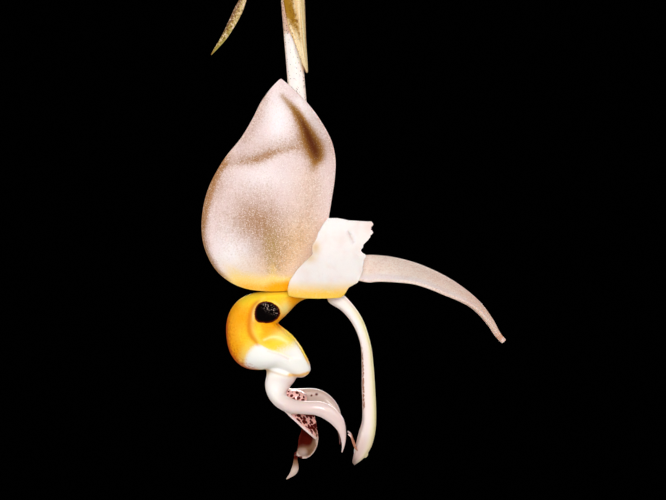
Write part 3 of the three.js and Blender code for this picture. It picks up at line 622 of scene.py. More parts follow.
@dataclass(frozen=True)
class LipFinish(Finish):
    """Waxy lip: an orange pouch that turns yellow and cream, with a dark eye and maroon blotches."""

    orange: Colour = shade(255, 174, 0)
    yellow: Colour = shade(255, 222, 64)
    peach: Colour = shade(255, 206, 116)
    cream: Colour = shade(255, 252, 246)
    # rust is painted shade along the pouch's lower left edge, and the fine rust-brown speckle in the orange
    rust: Colour = shade(196, 80, 0)
    white: Colour = shade(235, 212, 207)
    rose: Colour = shade(244, 190, 180)
    maroon: Colour = shade(96, 14, 8)
    black: Colour = shade(6, 0, 1)
    # grey is painted shade on the far horn, the grey low on the lip and in the spoon, and the grit in the
    # eyes
    grey: Colour = shade(190, 168, 156)
    # olive is painted half shade in the spoon, between its shadowed top and lit bottom, and the hook's tip
    olive: Colour = shade(120, 78, 30)
    # ridge is painted highlight: beside the groove, on crescents of the eyes' rims and on lit patches of the
    # pouch
    ridge: Colour = shade(255, 240, 160)
    # groove is painted shade in the groove, strongest in its left part
    groove: Colour = shade(224, 130, 0)
    # fold is painted shade in the crease and where the pouch overhangs the neck
    fold: Colour = shade(206, 156, 80)
    # liver is painted shadow in the spoon's top and on its left rim, and the dark dots of the lip's end
    liver: Colour = shade(88, 18, 3)

    def surface(self, s: Shading) -> Sockets:
        """The colours that the marks place, with their edges broken by noise."""
        fine = s.noise(0.4, 2, 0.6)
        soft = s.noise(2.2)
        ragged = (soft - 0.5) * 0.12 + (fine - 0.5) * 0.3
        orange = s.mark("orange") + ragged * s.step(s.mark("orange"), 0.0, 0.3)
        middle = s.blend(s.mark("lemon"), self.peach, self.yellow)
        # Painted shade along the pouch's lower left edge, broken by noise.
        rust = s.mark("rust") + (s.noise(0.8, 2, 0.7) - 0.5) * 0.9 * s.step(s.mark("rust"), 0.0, 0.2)
        spots = s.mark("spots")
        bend = s.noise(0.9, 1, 0.5) * 0.5 + fine * 0.12
        blotch = s.step(s.cells(1.2) + bend - spots * 0.445, 0.36, 0.3) * s.step(spots, 0.1, 0.4)
        eye = s.mark("eye") + (fine - 0.5) * 0.14
        inside = s.step(eye, 0.04, 0.16)
        grit = s.step(s.cells(0.5), 0.5, 0.24) * s.mark("grit") * inside
        dull = s.math("MAXIMUM", inside, s.mark("dark"))
        colour = s.layered(
            self.cream,
            (s.step(orange, 0.0, 0.42), middle),
            (s.step(orange, 0.45, 1.0), self.orange),
            # painted shade along the pouch's lower left edge
            (s.step(rust, 0.15, 0.85), self.rust),
            (s.step(fine, 0.5, 0.7) * s.step(orange, 0.6, 1.0) * 0.16, self.rust),
            # painted highlight (ridge), then painted shade in the groove and the folds
            ("ridge", self.ridge),
            ("groove", self.groove),
            ("fold", self.fold),
            ("pinkish", self.white),
            (s.step(spots, 0.1, 0.6) * 0.8, self.rose),
            (blotch, self.maroon),
            # painted shade on the far horn (dusk), then painted shadow in the spoon (olive, then the dark
            # mark)
            ("dusk", self.grey),
            ("olive", self.olive),
            (s.step(s.mark("dark") + (soft - 0.5) * 0.2, 0.2, 0.9), self.liver),
            (s.step(eye, -0.04, 0.02), self.maroon),
            (inside, self.black),
            (grit, self.grey),
        )
        return {
            "Base Color": colour,
            "Roughness": 0.5 - s.mark("gloss") * 0.2 + fine * 0.12 + dull * 0.4,
            "Normal": s.relief(fine * 0.5 + s.mark("grit") * s.cells(0.5) * 4, 0.08),
            "Subsurface Weight": 0.12,
            "Subsurface Radius": (1.0, 0.5, 0.15),
            "Subsurface Scale": 0.0015,
            "Specular IOR Level": 0.14,
            "Coat Weight": s.mark("gloss"),
            "Coat Roughness": 0.14,
        }


@dataclass(frozen=True)
class ColumnFinish(Finish):
    """Ivory column, greenish on its back, with brown specks down its inner edge."""

    ivory: Colour = shade(249, 238, 234)
    green: Colour = shade(240, 232, 170)
    rosy: Colour = shade(222, 188, 178)
    brown: Colour = shade(160, 90, 34)
    # grey is painted shade at the column's tip and in the recess of its inner edge there; it greys the anther
    # cap a little
    grey: Colour = shade(112, 92, 80)

    def surface(self, s: Shading) -> Sockets:
        """Specks and a soft green over the ivory."""
        fine = s.noise(0.6, 2, 0.6)
        specks = s.step(s.noise(0.6, 2, 0.6) + s.mark("specks") * 0.18, 0.56, 0.64) * s.mark("specks")
        colour = s.layered(
            self.ivory,
            (s.mark("green") * (0.7 + fine * 0.6), self.green),
            (s.mark("pinkish") * 0.8, self.rosy),
            (s.math("MAXIMUM", specks, s.mark("tooth")), self.brown),
            # painted shade at the tip
            ("tip", self.grey),
        )
        return {
            "Base Color": colour,
            "Roughness": 0.36 + fine * 0.12,
            "Normal": s.relief(fine + s.noise(2.5), 0.07),
            "Subsurface Weight": 0.15,
            "Subsurface Radius": (1.0, 0.7, 0.4),
            "Subsurface Scale": 0.0015,
            "Specular IOR Level": 0.4,
        }


@dataclass(frozen=True)
class StalkFinish(Finish):
    """Cream flower stalk with small dark marks, painted shade along its sides, and pinkish tan above a level
    near its top.
    """

    cream: Colour = shade(252, 244, 238)
    pinkish: Colour = shade(238, 204, 182)
    tan: Colour = shade(220, 178, 150)
    dark: Colour = shade(92, 66, 58)

    def surface(self, s: Shading) -> Sockets:
        """Small dark marks of two sizes over the cream."""
        fine = s.noise(0.5, 2, 0.6)
        marks = s.step(s.cells(1.15), 0.2, 0.12) * s.step(s.noise(3.1), 0.42, 0.5)
        freckles = s.step(s.noise(0.5, 1, 0.5) + s.mark("side") * 0.1 + s.mark("skin") * 0.06, 0.68, 0.74)
        colour = s.layered(
            self.cream,
            # painted shade along the stalk's left and right edges
            (s.mark("side") * 0.7, self.pinkish),
            ("skin", s.blend(fine, self.pinkish, self.tan)),
            (s.math("MAXIMUM", marks, freckles) * (0.4 + fine * 0.6), self.dark),
        )
        return {
            "Base Color": colour,
            "Roughness": 0.42 + fine * 0.15,
            "Normal": s.relief(fine, 0.06),
            "Subsurface Weight": 0.15,
            "Subsurface Scale": 0.001,
            "Specular IOR Level": 0.35,
        }


@dataclass(frozen=True)
class BractFinish(Finish):
    """Papery bract with long ribs, olive along its fold, which is painted shade on a wrapping bract, and
    brown along its edges.
    """

    tan: Colour = shade(232, 196, 144)
    light: Colour = shade(252, 236, 200)
    olive: Colour = shade(164, 120, 14)
    brown: Colour = shade(110, 58, 32)
    green: Colour = shade(170, 164, 76)
    rosy: Colour = shade(240, 216, 200)

    def surface(self, s: Shading) -> Sockets:
        """Ribs along the bract between its olive fold and its brown edge."""
        ribs = s.noise(1.0, 2, 0.6, s.along(s.mark("v") * 9, s.mark("u") * 2))
        fine = s.noise(0.4, 2, 0.7)
        blots = s.noise(0.8, 3, 0.7)
        fold = s.mark("fold") * (0.1 + blots * 1.8)
        flecks = s.step(blots, 0.54, 0.64) * s.step(s.mark("fold") + s.mark("edge"), 0.0, 0.5)
        broken = (fine - 0.5) * 0.7 + (ribs - 0.5) * 0.6
        colour = s.layered(
            self.tan,
            (s.step(ribs + (fine - 0.5) * 0.5, 0.4, 0.65), self.light),
            (s.mark("green") * (0.6 + ribs * 0.7), self.green),
            # olive along the fold, painted shade in the inner fold of a wrapping bract
            (s.step(fold, 0.05, 0.75), self.olive),
            (flecks * 0.6, self.brown),
            (s.step(s.mark("edge") + broken, 0.45, 0.7) * 0.8, self.brown),
            (s.step(blots, 0.55, 0.68) * s.mark("mottle"), self.brown),
            (s.step(blots, 0.48, 0.36) * s.mark("mottle"), self.rosy),
            (s.step(fine, 0.56, 0.66) * 0.4, self.brown),
        )
        return {
            "Base Color": colour,
            "Roughness": 0.6 + fine * 0.2,
            "Normal": s.relief(ribs * 0.7 + fine * 0.3, 0.18),
            "Specular IOR Level": 0.25,
        }


# Flower


def flower_place(points: Array) -> tuple[Array, Array, Array]:
    """Where points are from the flower's heart: x, how far out from the middle plane, and z."""
    x, y, z = (points - FLOWER).T
    return x, y, z


@dataclass
class LateralSepal:
    """One of the two broad reflexed sepals."""

    name: str
    side: float
    rows: int = 150
    columns: int = 110
    size: tuple[float, float] = (0.98, 0.98)

    EDGES: ClassVar = [
        [-3.9, -0.9, -1.4, 2.1], [-7.6, -1.9, -2.7, 3.6], [-13.5, -2.5, -1.8, 6.5], [-23.5, -1.3, 0.6, 11.5],
        [-30.6, 3.2, 2, 16.5], [-34.6, 10.5, 2.8, 21], [-35.4, 18, 3.6, 26], [-33.5, 28, 4.5, 32],
        [-28.8, 36.9, 4.7, 37.4], [-23.5, 43.6, 3.6, 42.6], [-20, 49.5, 0.9, 47.8], [-17.2, 55.2, -3.1, 53.4],
        [-14.4, 59.2, -7.6, 58.3], [-11.9, 61.7, -11.5, 61.7],
    ]
    # HOLLOW and HOLLOW_DARK place the painted shadow in the hollow under the curled right margin: its path,
    # and how dark it is by height.
    HOLLOW: ClassVar = [
        [-11.5, 56.6, 0.9], [-7.6, 52.3, 1.4], [-4.9, 47.7, 1.9], [-3, 43.6, 2.6],
        [-1.6, 40.2, 2.9], [-1.1, 37.5, 2.4], [-2.1, 34.2, 1.7],
    ]
    HOLLOW_DARK: ClassVar = [
        [32, 0], [35, 0.3], [38, 0.82], [40.5, 0.97], [43.5, 0.98],
        [48, 0.86], [51, 0.66], [54, 0.42], [57.5, 0.25],
    ]
    CREASE: ClassVar = [
        [-28.4, 35.4, 1.4], [-23.8, 36.2, 2], [-19.4, 37.2, 2.3],
        [-15.2, 38.6, 2.3], [-11.4, 40, 2], [-8, 40.9, 1.8],
    ]

    # Strokes of painted shade (SHADOW, LEFT_RIM, and RIGHT, which also places the peach tone), of painted
    # light on the lit right rim (TOP_LIGHT), and of the yellow streak at the foot (STREAK).
    SHADOW: ClassVar = [[-26, 38, 1.4], [-20, 39.2, 2.2], [-12, 41.8, 2.6], [-6, 43, 3.4]]
    RIGHT: ClassVar = [[-2.5, 33, 3], [-3, 24, 4.2], [-7, 13, 4.6], [-12, 6, 4]]
    LEFT_RIM: ClassVar = [[-29.2, 35.6, 2.2], [-31.8, 29, 3], [-34, 24, 2.6], [-35.2, 18, 1.6]]
    TOP_LIGHT: ClassVar = [[-6, 55, 1.6], [-2.4, 50, 2.2], [0.6, 45, 2]]
    STREAK: ClassVar = [[-14.1, -1.5, 2.2], [-14.2, 2.5, 1.6], [-14.4, 5, 1]]

    def depth(self, x: Array, z: Array, v: Array) -> Array:
        """How far the sepal's face stands out from the flower's middle plane."""
        rise = 3.1 + 1.2 * smooth(-x, 1.5, 8) + 4.6 * smooth(z, -2, 28) + 3.4 * smooth(-x, 12, 36)
        rim = 2.4 * np.abs(v) ** 3 * smooth(z, 2, 20) * (1 - smooth(z, 50, 61))
        hollow_across = (x + 2.2) * 0.93 + (z - 42.5) * 0.37
        hollow_along = (z - 42.5) * 0.93 - (x + 2.2) * 0.37
        hollow = 2.2 * bump(hollow_across, 3.2) * bump(hollow_along, 10)
        crease = 0.7 * stroke(x, z, self.CREASE)
        belly = 2.6 * bump(x + 26, 9) * bump(z - 9, 10)
        rolled = 1.7 * smooth(-v, 0.9, 1) * smooth(z, -2, 6) * (1 - smooth(z, 30, 44))
        return rise + rim + belly - hollow - crease - rolled

    def plane(self, u: Array, v: Array) -> tuple[Array, Array]:
        """The x and z of the face's points before they are set to size."""
        rows = np.asarray(self.EDGES)
        p = mix(Line(rows[:, :2]).at(u), Line(rows[:, 2:]).at(u), ((v + 1) / 2)[..., None])
        return p[..., 0], p[..., 1]

    def surface(self, u: Array, v: Array) -> Array:
        """The blade's middle surface."""
        x, z = self.plane(u, v)
        y = self.side * self.depth(x, z, v)
        return np.stack([x * self.size[0], y, z * self.size[1]], -1) + FLOWER

    def build(self) -> Skin:
        """The sepal's skin with its marks."""
        made = shell(self.surface, lambda u, v: 1.1 - 0.3 * v * v, self.rows, self.columns)
        x, z = self.plane(made.marks["u"], made.marks["v"])
        v = made.marks["v"]
        marks = made.marks
        # Painted shadow in the hollow under the curled right margin, darkest halfway up it.
        dark = np.interp(z, *np.array(self.HOLLOW_DARK).T)
        marks["hollow"] = dark * stroke(x, z, self.HOLLOW)
        # The tan mark is painted shade: the crease and the shade above it, the turned-away left margin and
        # rims, the belly's shallow hollow, the right band and the ring round the hollow.
        line = (0.2 + 0.55 * bump(x + 17.5, 8)) * stroke(x, z, [[a, b, c * 0.7] for a, b, c in self.CREASE])
        shadow = 0.3 * stroke(x, z, self.SHADOW)
        margin = 0.4 * smooth(-v, 0.6, 1) * smooth(z, 38, 44) * smooth(z, 60, 55)
        belly = 0.65 * patch(x, z, (-20, 19.5), (9, 8.5)) + 0.4 * patch(x, z, (-15, 11.5), (5, 9))
        warm = stroke(x, z, [[a - 1, b - 2, c * 1.5] for a, b, c in self.RIGHT])
        marks["warm"] = warm * mix(0.25, 0.85, smooth(z, 24, 12))
        right = 0.3 * stroke(x, z, self.RIGHT)
        rim = 1.1 * smooth(-v, 0.86, 1) * smooth(z, 42, 34) + 0.2 * smooth(v, 0.9, 1) * smooth(z, 24, 30)
        rim += 0.5 * stroke(x, z, self.LEFT_RIM)
        around = 0.6 * dark * stroke(x, z, [[a + 0.2, b, c * 1.8] for a, b, c in self.HOLLOW])
        marks["tan"] = np.clip(line + shadow + margin + belly + right + rim + around, 0, 1.1)
        # The pale mark is painted light on the lit bulges: the upper ridge, the low left bulge, the face
        # below the crease and the lit right rim.
        pale = patch(x, z, (-12.6, 49.5), (4.2, 9)) + patch(x, z, (-26, 9), (6, 7))
        pale += 0.7 * patch(x, z, (-17, 32), (7, 4))
        marks["pale"] = np.clip(pale + 0.8 * stroke(x, z, self.TOP_LIGHT), 0, 1)
        # The olive mark is painted shade low in the belly's shallow hollow.
        olive = 0.6 * patch(x, z, (-14.6, 12.5), (2.6, 4.5))
        marks["olive"] = olive + 0.3 * patch(x, z, (-14.4, 6), (1.6, 5))
        foot = np.array(self.EDGES)[:5][::-1]
        height = z - np.interp(x, foot[:, 0], foot[:, 1])
        bottom = np.clip(1.15 - height / 5, 0, 1) * smooth(-x, 2, 5) * smooth(-x, 31, 22)
        cream = 0.2 * patch(x, z, (-24, 5), (8, 4))
        deep = 0.6 * patch(x, z, (-9.5, -0.8), (3.8, 2))
        marks["blush"] = np.clip(bottom + 0.25 * stroke(x, z, self.STREAK) + cream + deep, 0, 1.3)
        return made


@dataclass
class DorsalSepal:
    """The narrow arched sepal on the flower's far side from the lip."""

    name: str = "dorsal_sepal"

    RIDGE: ClassVar = [
        [2.5, 3.3], [8, 6.6], [13.8, 7.9], [18, 7.8], [22.5, 7.2],
        [30, 5.1], [39.6, 0.4], [47.4, -5.7], [51.6, -11.3], [53.7, -15.2], [55.5, -17.4],
    ]
    HALF: ClassVar = [1.8, 4.2, 5.9, 7.6, 9.6, 12.2, 10.4, 6, 3.2, 1.4, 1.1]
    DROP: ClassVar = [0.8, 5.8, 7.6, 7.2, 6.75, 5.5, 4.5, 2.3, 1.4, 1.0, 0.9]

    def surface(self, u: Array, v: Array) -> Array:
        """The blade's middle surface."""
        ridge = Line(self.RIDGE)
        sizes = Line([[i, half, drop] for i, (half, drop) in enumerate(zip(self.HALF, self.DROP))]).at(u)
        point, way = ridge.at(u), ridge.way(u)
        half, drop = sizes[..., 1], sizes[..., 2]
        down = drop * np.abs(v) ** 1.5
        curl = 1.1 * smooth(np.abs(v), 0.8, 1) * (1 - u)
        x = point[..., 0] + way[..., 1] * down
        z = point[..., 1] - way[..., 0] * down
        return np.stack([x, v * (half + curl), z], -1) + FLOWER

    def build(self) -> Skin:
        """The sepal's skin with its marks."""
        made = shell(self.surface, lambda u, v: 1.0 + 0 * u, 130, 90, 0.035)
        u, v = made.marks["u"], made.marks["v"]
        band = smooth(np.abs(v), 0.7, 0.92) * smooth(np.abs(v), 1.0, 0.95)
        made.marks["pale"] = np.clip(0.7 * band + 0.6 * smooth(u, 0.95, 0.99), 0, 1)
        upper = smooth(np.abs(v), 0.92, 0.6)
        tan = 0.04 * upper + 0.5 * smooth(u, 0.3, 0.8) + 0.6 * bump(u - 0.93, 0.02)
        made.marks["tan"] = np.clip(tan, 0, 1)
        made.marks["flecks"] = 0.1 + 0.6 * upper
        return made


@dataclass
class PetalBase:
    """The torn base of a petal with the claw that carries it."""

    name: str
    side: float
    scale: float

    EDGES: ClassVar = [
        [-4.4, -2.4, 3.6], [-4.2, -7.5, 6.2], [-3.6, -9.3, 7.1], [-2.7, -9.6, 7.7], [-1.1, -9.5, 8.7],
        [0.4, -9.1, 11.4], [1.4, -8.6, 11.7], [4.1, -6.7, 12.7], [6.7, -4.3, 12.9], [8.2, -2.6, 13.8],
        [8.9, -2, 12.9], [9.8, -2.3, 12.2], [11.5, -2.1, 13], [13.2, -1, 14.5], [15, -0.5, 15.6],
        [16.2, 0.2, 15.1], [17.5, 1, 15.7], [18.3, 1.5, 15.3], [18.6, 1.8, 8.6], [19.3, 2.4, 5.4],
    ]
    DENT: ClassVar = [[8.2, 15.2, 0.3], [9.2, 13.5, 0.45], [9.9, 12.2, 0.3]]
    WRINKLE: ClassVar = [[8.2, 15.2, 0.3], [9.2, 13.5, 0.5], [9.9, 12.2, 0.3]]

    def plane(self, u: Array, v: Array) -> tuple[Array, Array]:
        """The x and z of the face's points before they are set to size."""
        rows = np.asarray(self.EDGES)
        place = u * (len(rows) - 1)
        z, left, right = (np.interp(place, np.arange(len(rows)), column) for column in rows.T)
        jag = 0.16 * np.sin(z * 5.1 + 2 * np.sin(z * 2.3)) * smooth(v, 0.7, 1) * smooth(z, -3, 1)
        return mix(left, right + jag, (v + 1) / 2), z

    def surface(self, u: Array, v: Array) -> Array:
        """The blade's middle surface."""
        x, z = self.plane(u, v)
        swell = 1.8 * bump(x - 2, 7) * bump(z - 5, 8) - 2.4 * smooth(z, 6, 19) * smooth(x, 5, 15)
        wall = 6.6 + 4.8 * smooth(z, -2, 17) + swell - 0.6 * smooth(-z, -1, 4.4)
        dent = 0.5 * stroke(x, z, self.DENT)
        wave = 0.25 * np.sin(0.9 * x + 0.4 * z) * smooth(x, 6, 12)
        return np.stack([x * self.scale, self.side * (wall - dent + wave), z * self.scale], -1) + FLOWER

    def build(self) -> Skin:
        """The petal base's skin with its marks, and its claw."""
        made = shell(self.surface, lambda u, v: 1.3 - 0.5 * smooth(np.abs(v), 0.7, 1), 110, 70, 0.04)
        x, z = self.plane(made.marks["u"], made.marks["v"])
        beige = 0.9 * patch(x, z, (-1.2, 10.7), (1.3, 1.7)) + 0.75 * patch(x, z, (-2.8, 7.6), (2, 1.3))
        made.marks["patch"] = np.clip(beige, 0, 1)
        made.marks["wrinkle"] = 0.8 * stroke(x, z, self.WRINKLE) + 0.5 * smooth(x, 11, 15) * smooth(z, 12, 17)
        made.marks["blush"] = smooth(z, 1.8, -3.6)
        claw = Line([[1.6, self.side * 2.4, 0.2], [2.6, self.side * 4.6, -0.2], [2.8, self.side * 7.3, 0.4]])
        rings = tube(claw.even(12) + FLOWER, lambda u: 1.5 + 0.8 * u, 20)
        return made.with_skin(loft(rings))


def fused(parts: Sequence[Skin], cell: float, rounds: int) -> Skin:
    """Overlapping closed shapes grown into one smooth skin.

    Args:
        parts: The shapes.
        cell: The size of a face of the new skin.
        rounds: How often the new skin is smoothed.

    Returns:
        The new skin.
    """
    whole = parts[0]
    for part in parts[1:]:
        whole = whole.with_skin(part)
    scratch = added("scratch", whole.mesh("scratch"))
    remesh = scratch.modifiers.new("grow", "REMESH")
    remesh.mode = "VOXEL"
    remesh.voxel_size = cell * MM
    made = skin_of(evaluated(scratch))
    bpy.data.objects.remove(scratch)
    return relaxed(made, rounds)


def evaluated(piece: Object) -> Mesh:
    """A plain mesh of an object with its modifiers applied."""
    graph = bpy.context.evaluated_depsgraph_get()
    return bpy.data.meshes.new_from_object(piece.evaluated_get(graph), depsgraph=graph)


def relaxed(skin: Skin, rounds: int) -> Skin:
    """Smooths a skin without shrinking it, by a step in and a step out in turn."""
    faces = np.array([face if len(face) == 4 else (*face, face[-1]) for face in skin.faces])
    links = np.vstack([faces[:, [i, (i + 1) % 4]] for i in range(4)])
    links = links[links[:, 0] != links[:, 1]]
    count = np.maximum(np.bincount(links[:, 0], minlength=len(skin.points)), 1)[:, None]
    for _ in range(rounds):
        for share in (0.55, -0.57):
            sums = [np.bincount(links[:, 0], column[links[:, 1]], len(column)) for column in skin.points.T]
            skin.points = skin.points + share * (np.stack(sums, 1) / count - skin.points)
    return skin


def cut(body: Skin, room: Skin) -> Skin:
    """What is left of a closed body once another is taken out of it."""
    pieces = [added("scratch", part.mesh("scratch")) for part in (body, room)]
    tool = pieces[0].modifiers.new("cut", "BOOLEAN")
    tool.operation = "DIFFERENCE"
    tool.solver = "EXACT"
    tool.object = pieces[1]
    made = skin_of(evaluated(pieces[0]))
    for piece in pieces:
        bpy.data.objects.remove(piece)
    return made


@dataclass
class Lip:
    """The waxy lip: its pouch, neck, two horns, spotted flap, spoon and hooked point."""

    name: str = "lip_flesh"
    cell: float = 0.3
    wall: float = 2.0

    POUCH: ClassVar = [
        [1, -3.1, 0.8, -4.7, 1.2], [-2.8, -2.4, -1.6, -4.7, 2.2],
        [-6.9, -2, -4.4, -4.8, 3.4], [-11.4, -2.1, -6.9, -6.2, 4.8],
        [-16.2, -2.5, -8.9, -8.3, 6.4], [-20.4, -3.2, -10.8, -10.2, 7.8],
        [-24, -4.8, -12, -11.3, 8.8], [-26.7, -7.9, -12.5, -11.8, 9.4],
        [-28, -11.7, -12.5, -12, 9.6], [-28, -16.5, -12.1, -12.4, 9.7],
        [-27, -20.7, -11.2, -13.1, 9.6], [-24.9, -23.8, -9.9, -14.1, 9.3],
        [-21.9, -25.6, -8.4, -15.4, 8.9], [-18.4, -26, -6.9, -17.1, 8.3],
        [-15, -25.8, -5.5, -19.1, 7.4], [-11.6, -26.9, -4.3, -21.4, 6.2],
        [-8.2, -28, -3.4, -23.4, 4.8], [-5.2, -28.3, -2.9, -25.2, 3.2],
        [-3.6, -27.4, -2.8, -26, 1.6],
    ]
    NECK: ClassVar = [
        [-16.6, -23.5, -7.6, -24.5, 5.4], [-16, -27, -7.2, -28.6, 5.2],
        [-16.5, -30.2, -9, -31.2, 4.9], [-16.1, -32.8, -10, -33, 5.4],
        [-14.7, -35.4, -9.2, -34.4, 6.2], [-12, -37.8, -7.4, -35.2, 6.4],
        [-9.4, -39, -6, -36, 5],
    ]
    NEAR_HORN: ClassVar = [
        [-12.4, -30.4, -15.6, -33.6, 3.8, -0.6], [-10.4, -33.2, -13.4, -36.6, 3.4, -2.4],
        [-7.4, -34.6, -9.4, -38.5, 2.6, -4.4], [-3.9, -34.9, -4.8, -38.9, 2, -6],
        [0, -34.9, -1.3, -39.1, 1.6, -6.8], [3.1, -36.1, 1.3, -40.2, 1.4, -7],
        [5.4, -37.9, 3.7, -42, 1.3, -6.6], [7, -40.1, 5.5, -44.2, 1.1, -6],
        [7.8, -43.9, 6.3, -46.8, 0.9, -5.2], [7.6, -47.5, 6.5, -49, 0.7, -4.4],
        [6.7, -50.6, 6.3, -50.5, 0.4, -3.8],
    ]
    FAR_HORN: ClassVar = [
        [-11.6, -31, -14, -34.6, 3.2, 1.6], [-8.6, -31.9, -10.4, -36, 2.6, 3.6],
        [-4.8, -32, -5.4, -36.6, 2, 5.6], [-1.2, -32.2, -2, -36.9, 1.7, 6.6],
        [1.8, -33.4, 0.1, -37.6, 1.5, 6.8], [4, -35.3, 2.2, -39.3, 1.4, 6.6],
        [5.6, -37.6, 3.9, -41.4, 1.2, 6], [6.5, -40.6, 4.9, -43.8, 1, 5.2],
        [6.9, -44, 5.6, -46.4, 0.8, 4.4], [6.2, -48.9, 5.8, -48.9, 0.4, 3.6],
    ]
    POINT: ClassVar = [
        [-5.9, -50.8, -7.7, -50.9, 0.8, 0.8], [-6.7, -52.5, -7.9, -52.6, 0.7, 0.2],
        [-6.5, -54, -8.1, -54, 0.8, -0.4], [-6.4, -55.7, -8.5, -55.3, 0.8, -0.8],
        [-7.1, -57.2, -9.1, -56.8, 0.6, -1.1], [-10.2, -59, -10.2, -58.6, 0.3, -1.2],
    ]
    GROOVE: ClassVar = [
        [-17.2, -4.6, 0.4], [-19.4, -6.4, 0.7], [-20.4, -9, 0.8], [-20.9, -11.8, 0.8], [-20.6, -14.6, 0.8],
        [-19.2, -16.8, 0.7], [-17.4, -18.4, 0.5], [-15, -19.9, 0.4], [-11.8, -21.1, 0.3], [-9, -22.6, 0.25],
    ]
    LOW_RIM: ClassVar = [[-9, -27.4, 0.6], [-6, -27.6, 0.7], [-3.6, -26.8, 0.6]]
    GRIT: ClassVar = [[-16.4, -6.3, 0.7], [-14.6, -7.4, 1], [-12.6, -8.8, 0.6]]
    LIGHT: ClassVar = [[-16.4, -16.6, 0.4], [-14, -15.8, 0.5], [-12.2, -16, 0.5], [-9.8, -17.2, 0.5]]
    CREASE: ClassVar = [[-15.4, -20, 0.25], [-11.8, -21.3, 0.3], [-9.4, -22.4, 0.3]]
    FLAP_NEAR: ClassVar = [
        [-12.4, -3.4, -36.4], [-10.2, -4.3, -38.4], [-6.4, -4.5, -41.9], [-2.6, -4, -45.2],
        [-1.1, -2.6, -46.4],
    ]
    FLAP_FAR: ClassVar = [
        [-8, 3, -36], [-2.4, 2.4, -38.4], [-1.3, 1.4, -41.4], [-0.9, 0, -44.6], [-0.9, -2.2, -46.6],
    ]
    WHITE: ClassVar = (-15.5, -24.1)
    EYE: ClassVar = (-15.6, -8.3)
    EYE_EDGE: ClassVar = [
        [-3.6, -1.1], [-3.4, 0.8], [-2.5, 2.3], [-1.1, 2.9], [0.5, 2.8], [2.2, 2.1], [3.4, 0.9], [3.8, -0.7],
        [3.3, -1.9], [2.5, -2.6], [1.2, -3.2], [-1, -3.25], [-2.7, -3], [-3.5, -2.2],
    ]
    SPOON: ClassVar = (-4.2, -0.6, -47.4)
    SPOON_SIZE: ClassVar = (3.7, 4.2, 5.3)
    SPOON_TILT: ClassVar = 0.25
    SPOON_CUT: ClassVar = (-6.3, -2.5, -47.4)
    FRONT_TURN: ClassVar = 0.3
    LEFT_TILT: ClassVar = 0.22

    def pouch(self) -> Skin:
        """The pouch with its hollow, which is open towards the column."""
        body = RailBody(self.POUCH, 90, 64, 2.2, lambda u: mix(2, 5, smooth(u, 0.3, 0.5)))
        stations = []
        for ox, oz, ix, iz, depth in self.POUCH[8:17]:
            inward = np.array([ix - ox, iz - oz]) / math.hypot(ix - ox, iz - oz)
            start = np.array([ox, oz]) + inward * self.wall
            end = np.array([ix, iz]) + inward * 2.5
            stations.append([*start, *end, depth - self.wall])
        return cut(body.skin(), RailBody(stations, 40, 48, 2.4, lambda u: 3.2).skin())

    def flap(self) -> Skin:
        """The spotted flap between the neck and the spoon."""
        near, far = Line(self.FLAP_NEAR), Line(self.FLAP_FAR)

        def surface(u: Array, v: Array) -> Array:
            """The flap's middle surface, a little hollow."""
            sag = (0.15 * (1 - v * v))[..., None] * [-1, 0, -1]
            return mix(near.at(u), far.at(u), ((v + 1) / 2)[..., None]) + sag + FLOWER

        return shell(surface, lambda u, v: 0.75 + 0 * u, 40, 24, 0.1, 0.03)

    def spoon(self) -> Skin:
        """The hollow end of the lip, open towards the near side."""
        middle = FLOWER + self.SPOON
        size = np.array(self.SPOON_SIZE)
        outer = ball(middle, size, self.SPOON_TILT, 40, 56)
        inner = ball(middle - [0, 0.3, 0], size - 0.8, self.SPOON_TILT, 40, 56)
        bowl = cut(outer, inner)
        box = np.array([[x, y, z] for x in (-10, 10) for y in (-5, 5) for z in (-10, 10)], float)
        sides = [(0, 1, 3, 2), (4, 6, 7, 5), (0, 4, 5, 1), (2, 3, 7, 6), (0, 2, 6, 4), (1, 5, 7, 3)]
        cos, sin = math.cos(self.FRONT_TURN), math.sin(self.FRONT_TURN)
        front = box @ np.array([[cos, sin, 0], [-sin, cos, 0], [0, 0, 1]])
        bowl = cut(bowl, Skin(front + FLOWER + [self.SPOON[0], -6.3, self.SPOON[2]], sides))
        cos, sin = math.cos(self.LEFT_TILT), math.sin(self.LEFT_TILT)
        left = (box - [10, 0, 0]) @ np.array([[cos, 0, -sin], [0, 1, 0], [sin, 0, cos]])
        return cut(bowl, Skin(left + FLOWER + self.SPOON_CUT, sides))

    def build(self) -> Skin:
        """The lip's skin with its marks."""
        parts = [
            self.pouch(), RailBody(self.NECK, 40, 40).skin(), RailBody(self.NEAR_HORN, 60, 28).skin(),
            RailBody(self.FAR_HORN, 60, 28).skin(), self.flap(), self.spoon(),
            RailBody(self.POINT, 30, 24).skin(),
            ball(FLOWER + [-7, 0.4, -34.2], (3.3, 3.4, 2.1), 0.2, 24, 32),
        ]
        made = fused(parts, self.cell, 6)
        x, y, z = flower_place(made.points)
        flank = smooth(np.abs(y), 2, 5) * smooth(z, -28, -24)
        eye = self.eye(x, z)
        groove = stroke(x, z, self.GROOVE)
        inner = self.inside_groove(x, z)
        sink = 0.9 * smooth(eye, -0.05, 0.4) - 0.12 * bump(eye + 0.12, 0.1) + 0.35 * inner + 0.25 * groove
        made.points[:, 1] -= np.sign(y) * flank * sink
        self.paint(made, eye, groove, inner)
        return made

    def eye(self, x: Array, z: Array) -> Array:
        """Above 0 inside the dark eye, below 0 outside."""
        edge_x, edge_z = np.array(self.EYE_EDGE).T
        dx, dz = x - self.EYE[0], z - self.EYE[1]
        angles = np.arctan2(edge_z, edge_x)
        limit = np.interp(np.arctan2(dz, dx), angles, np.hypot(edge_x, edge_z), period=2 * np.pi)
        return 1 - np.hypot(dx, dz) / limit

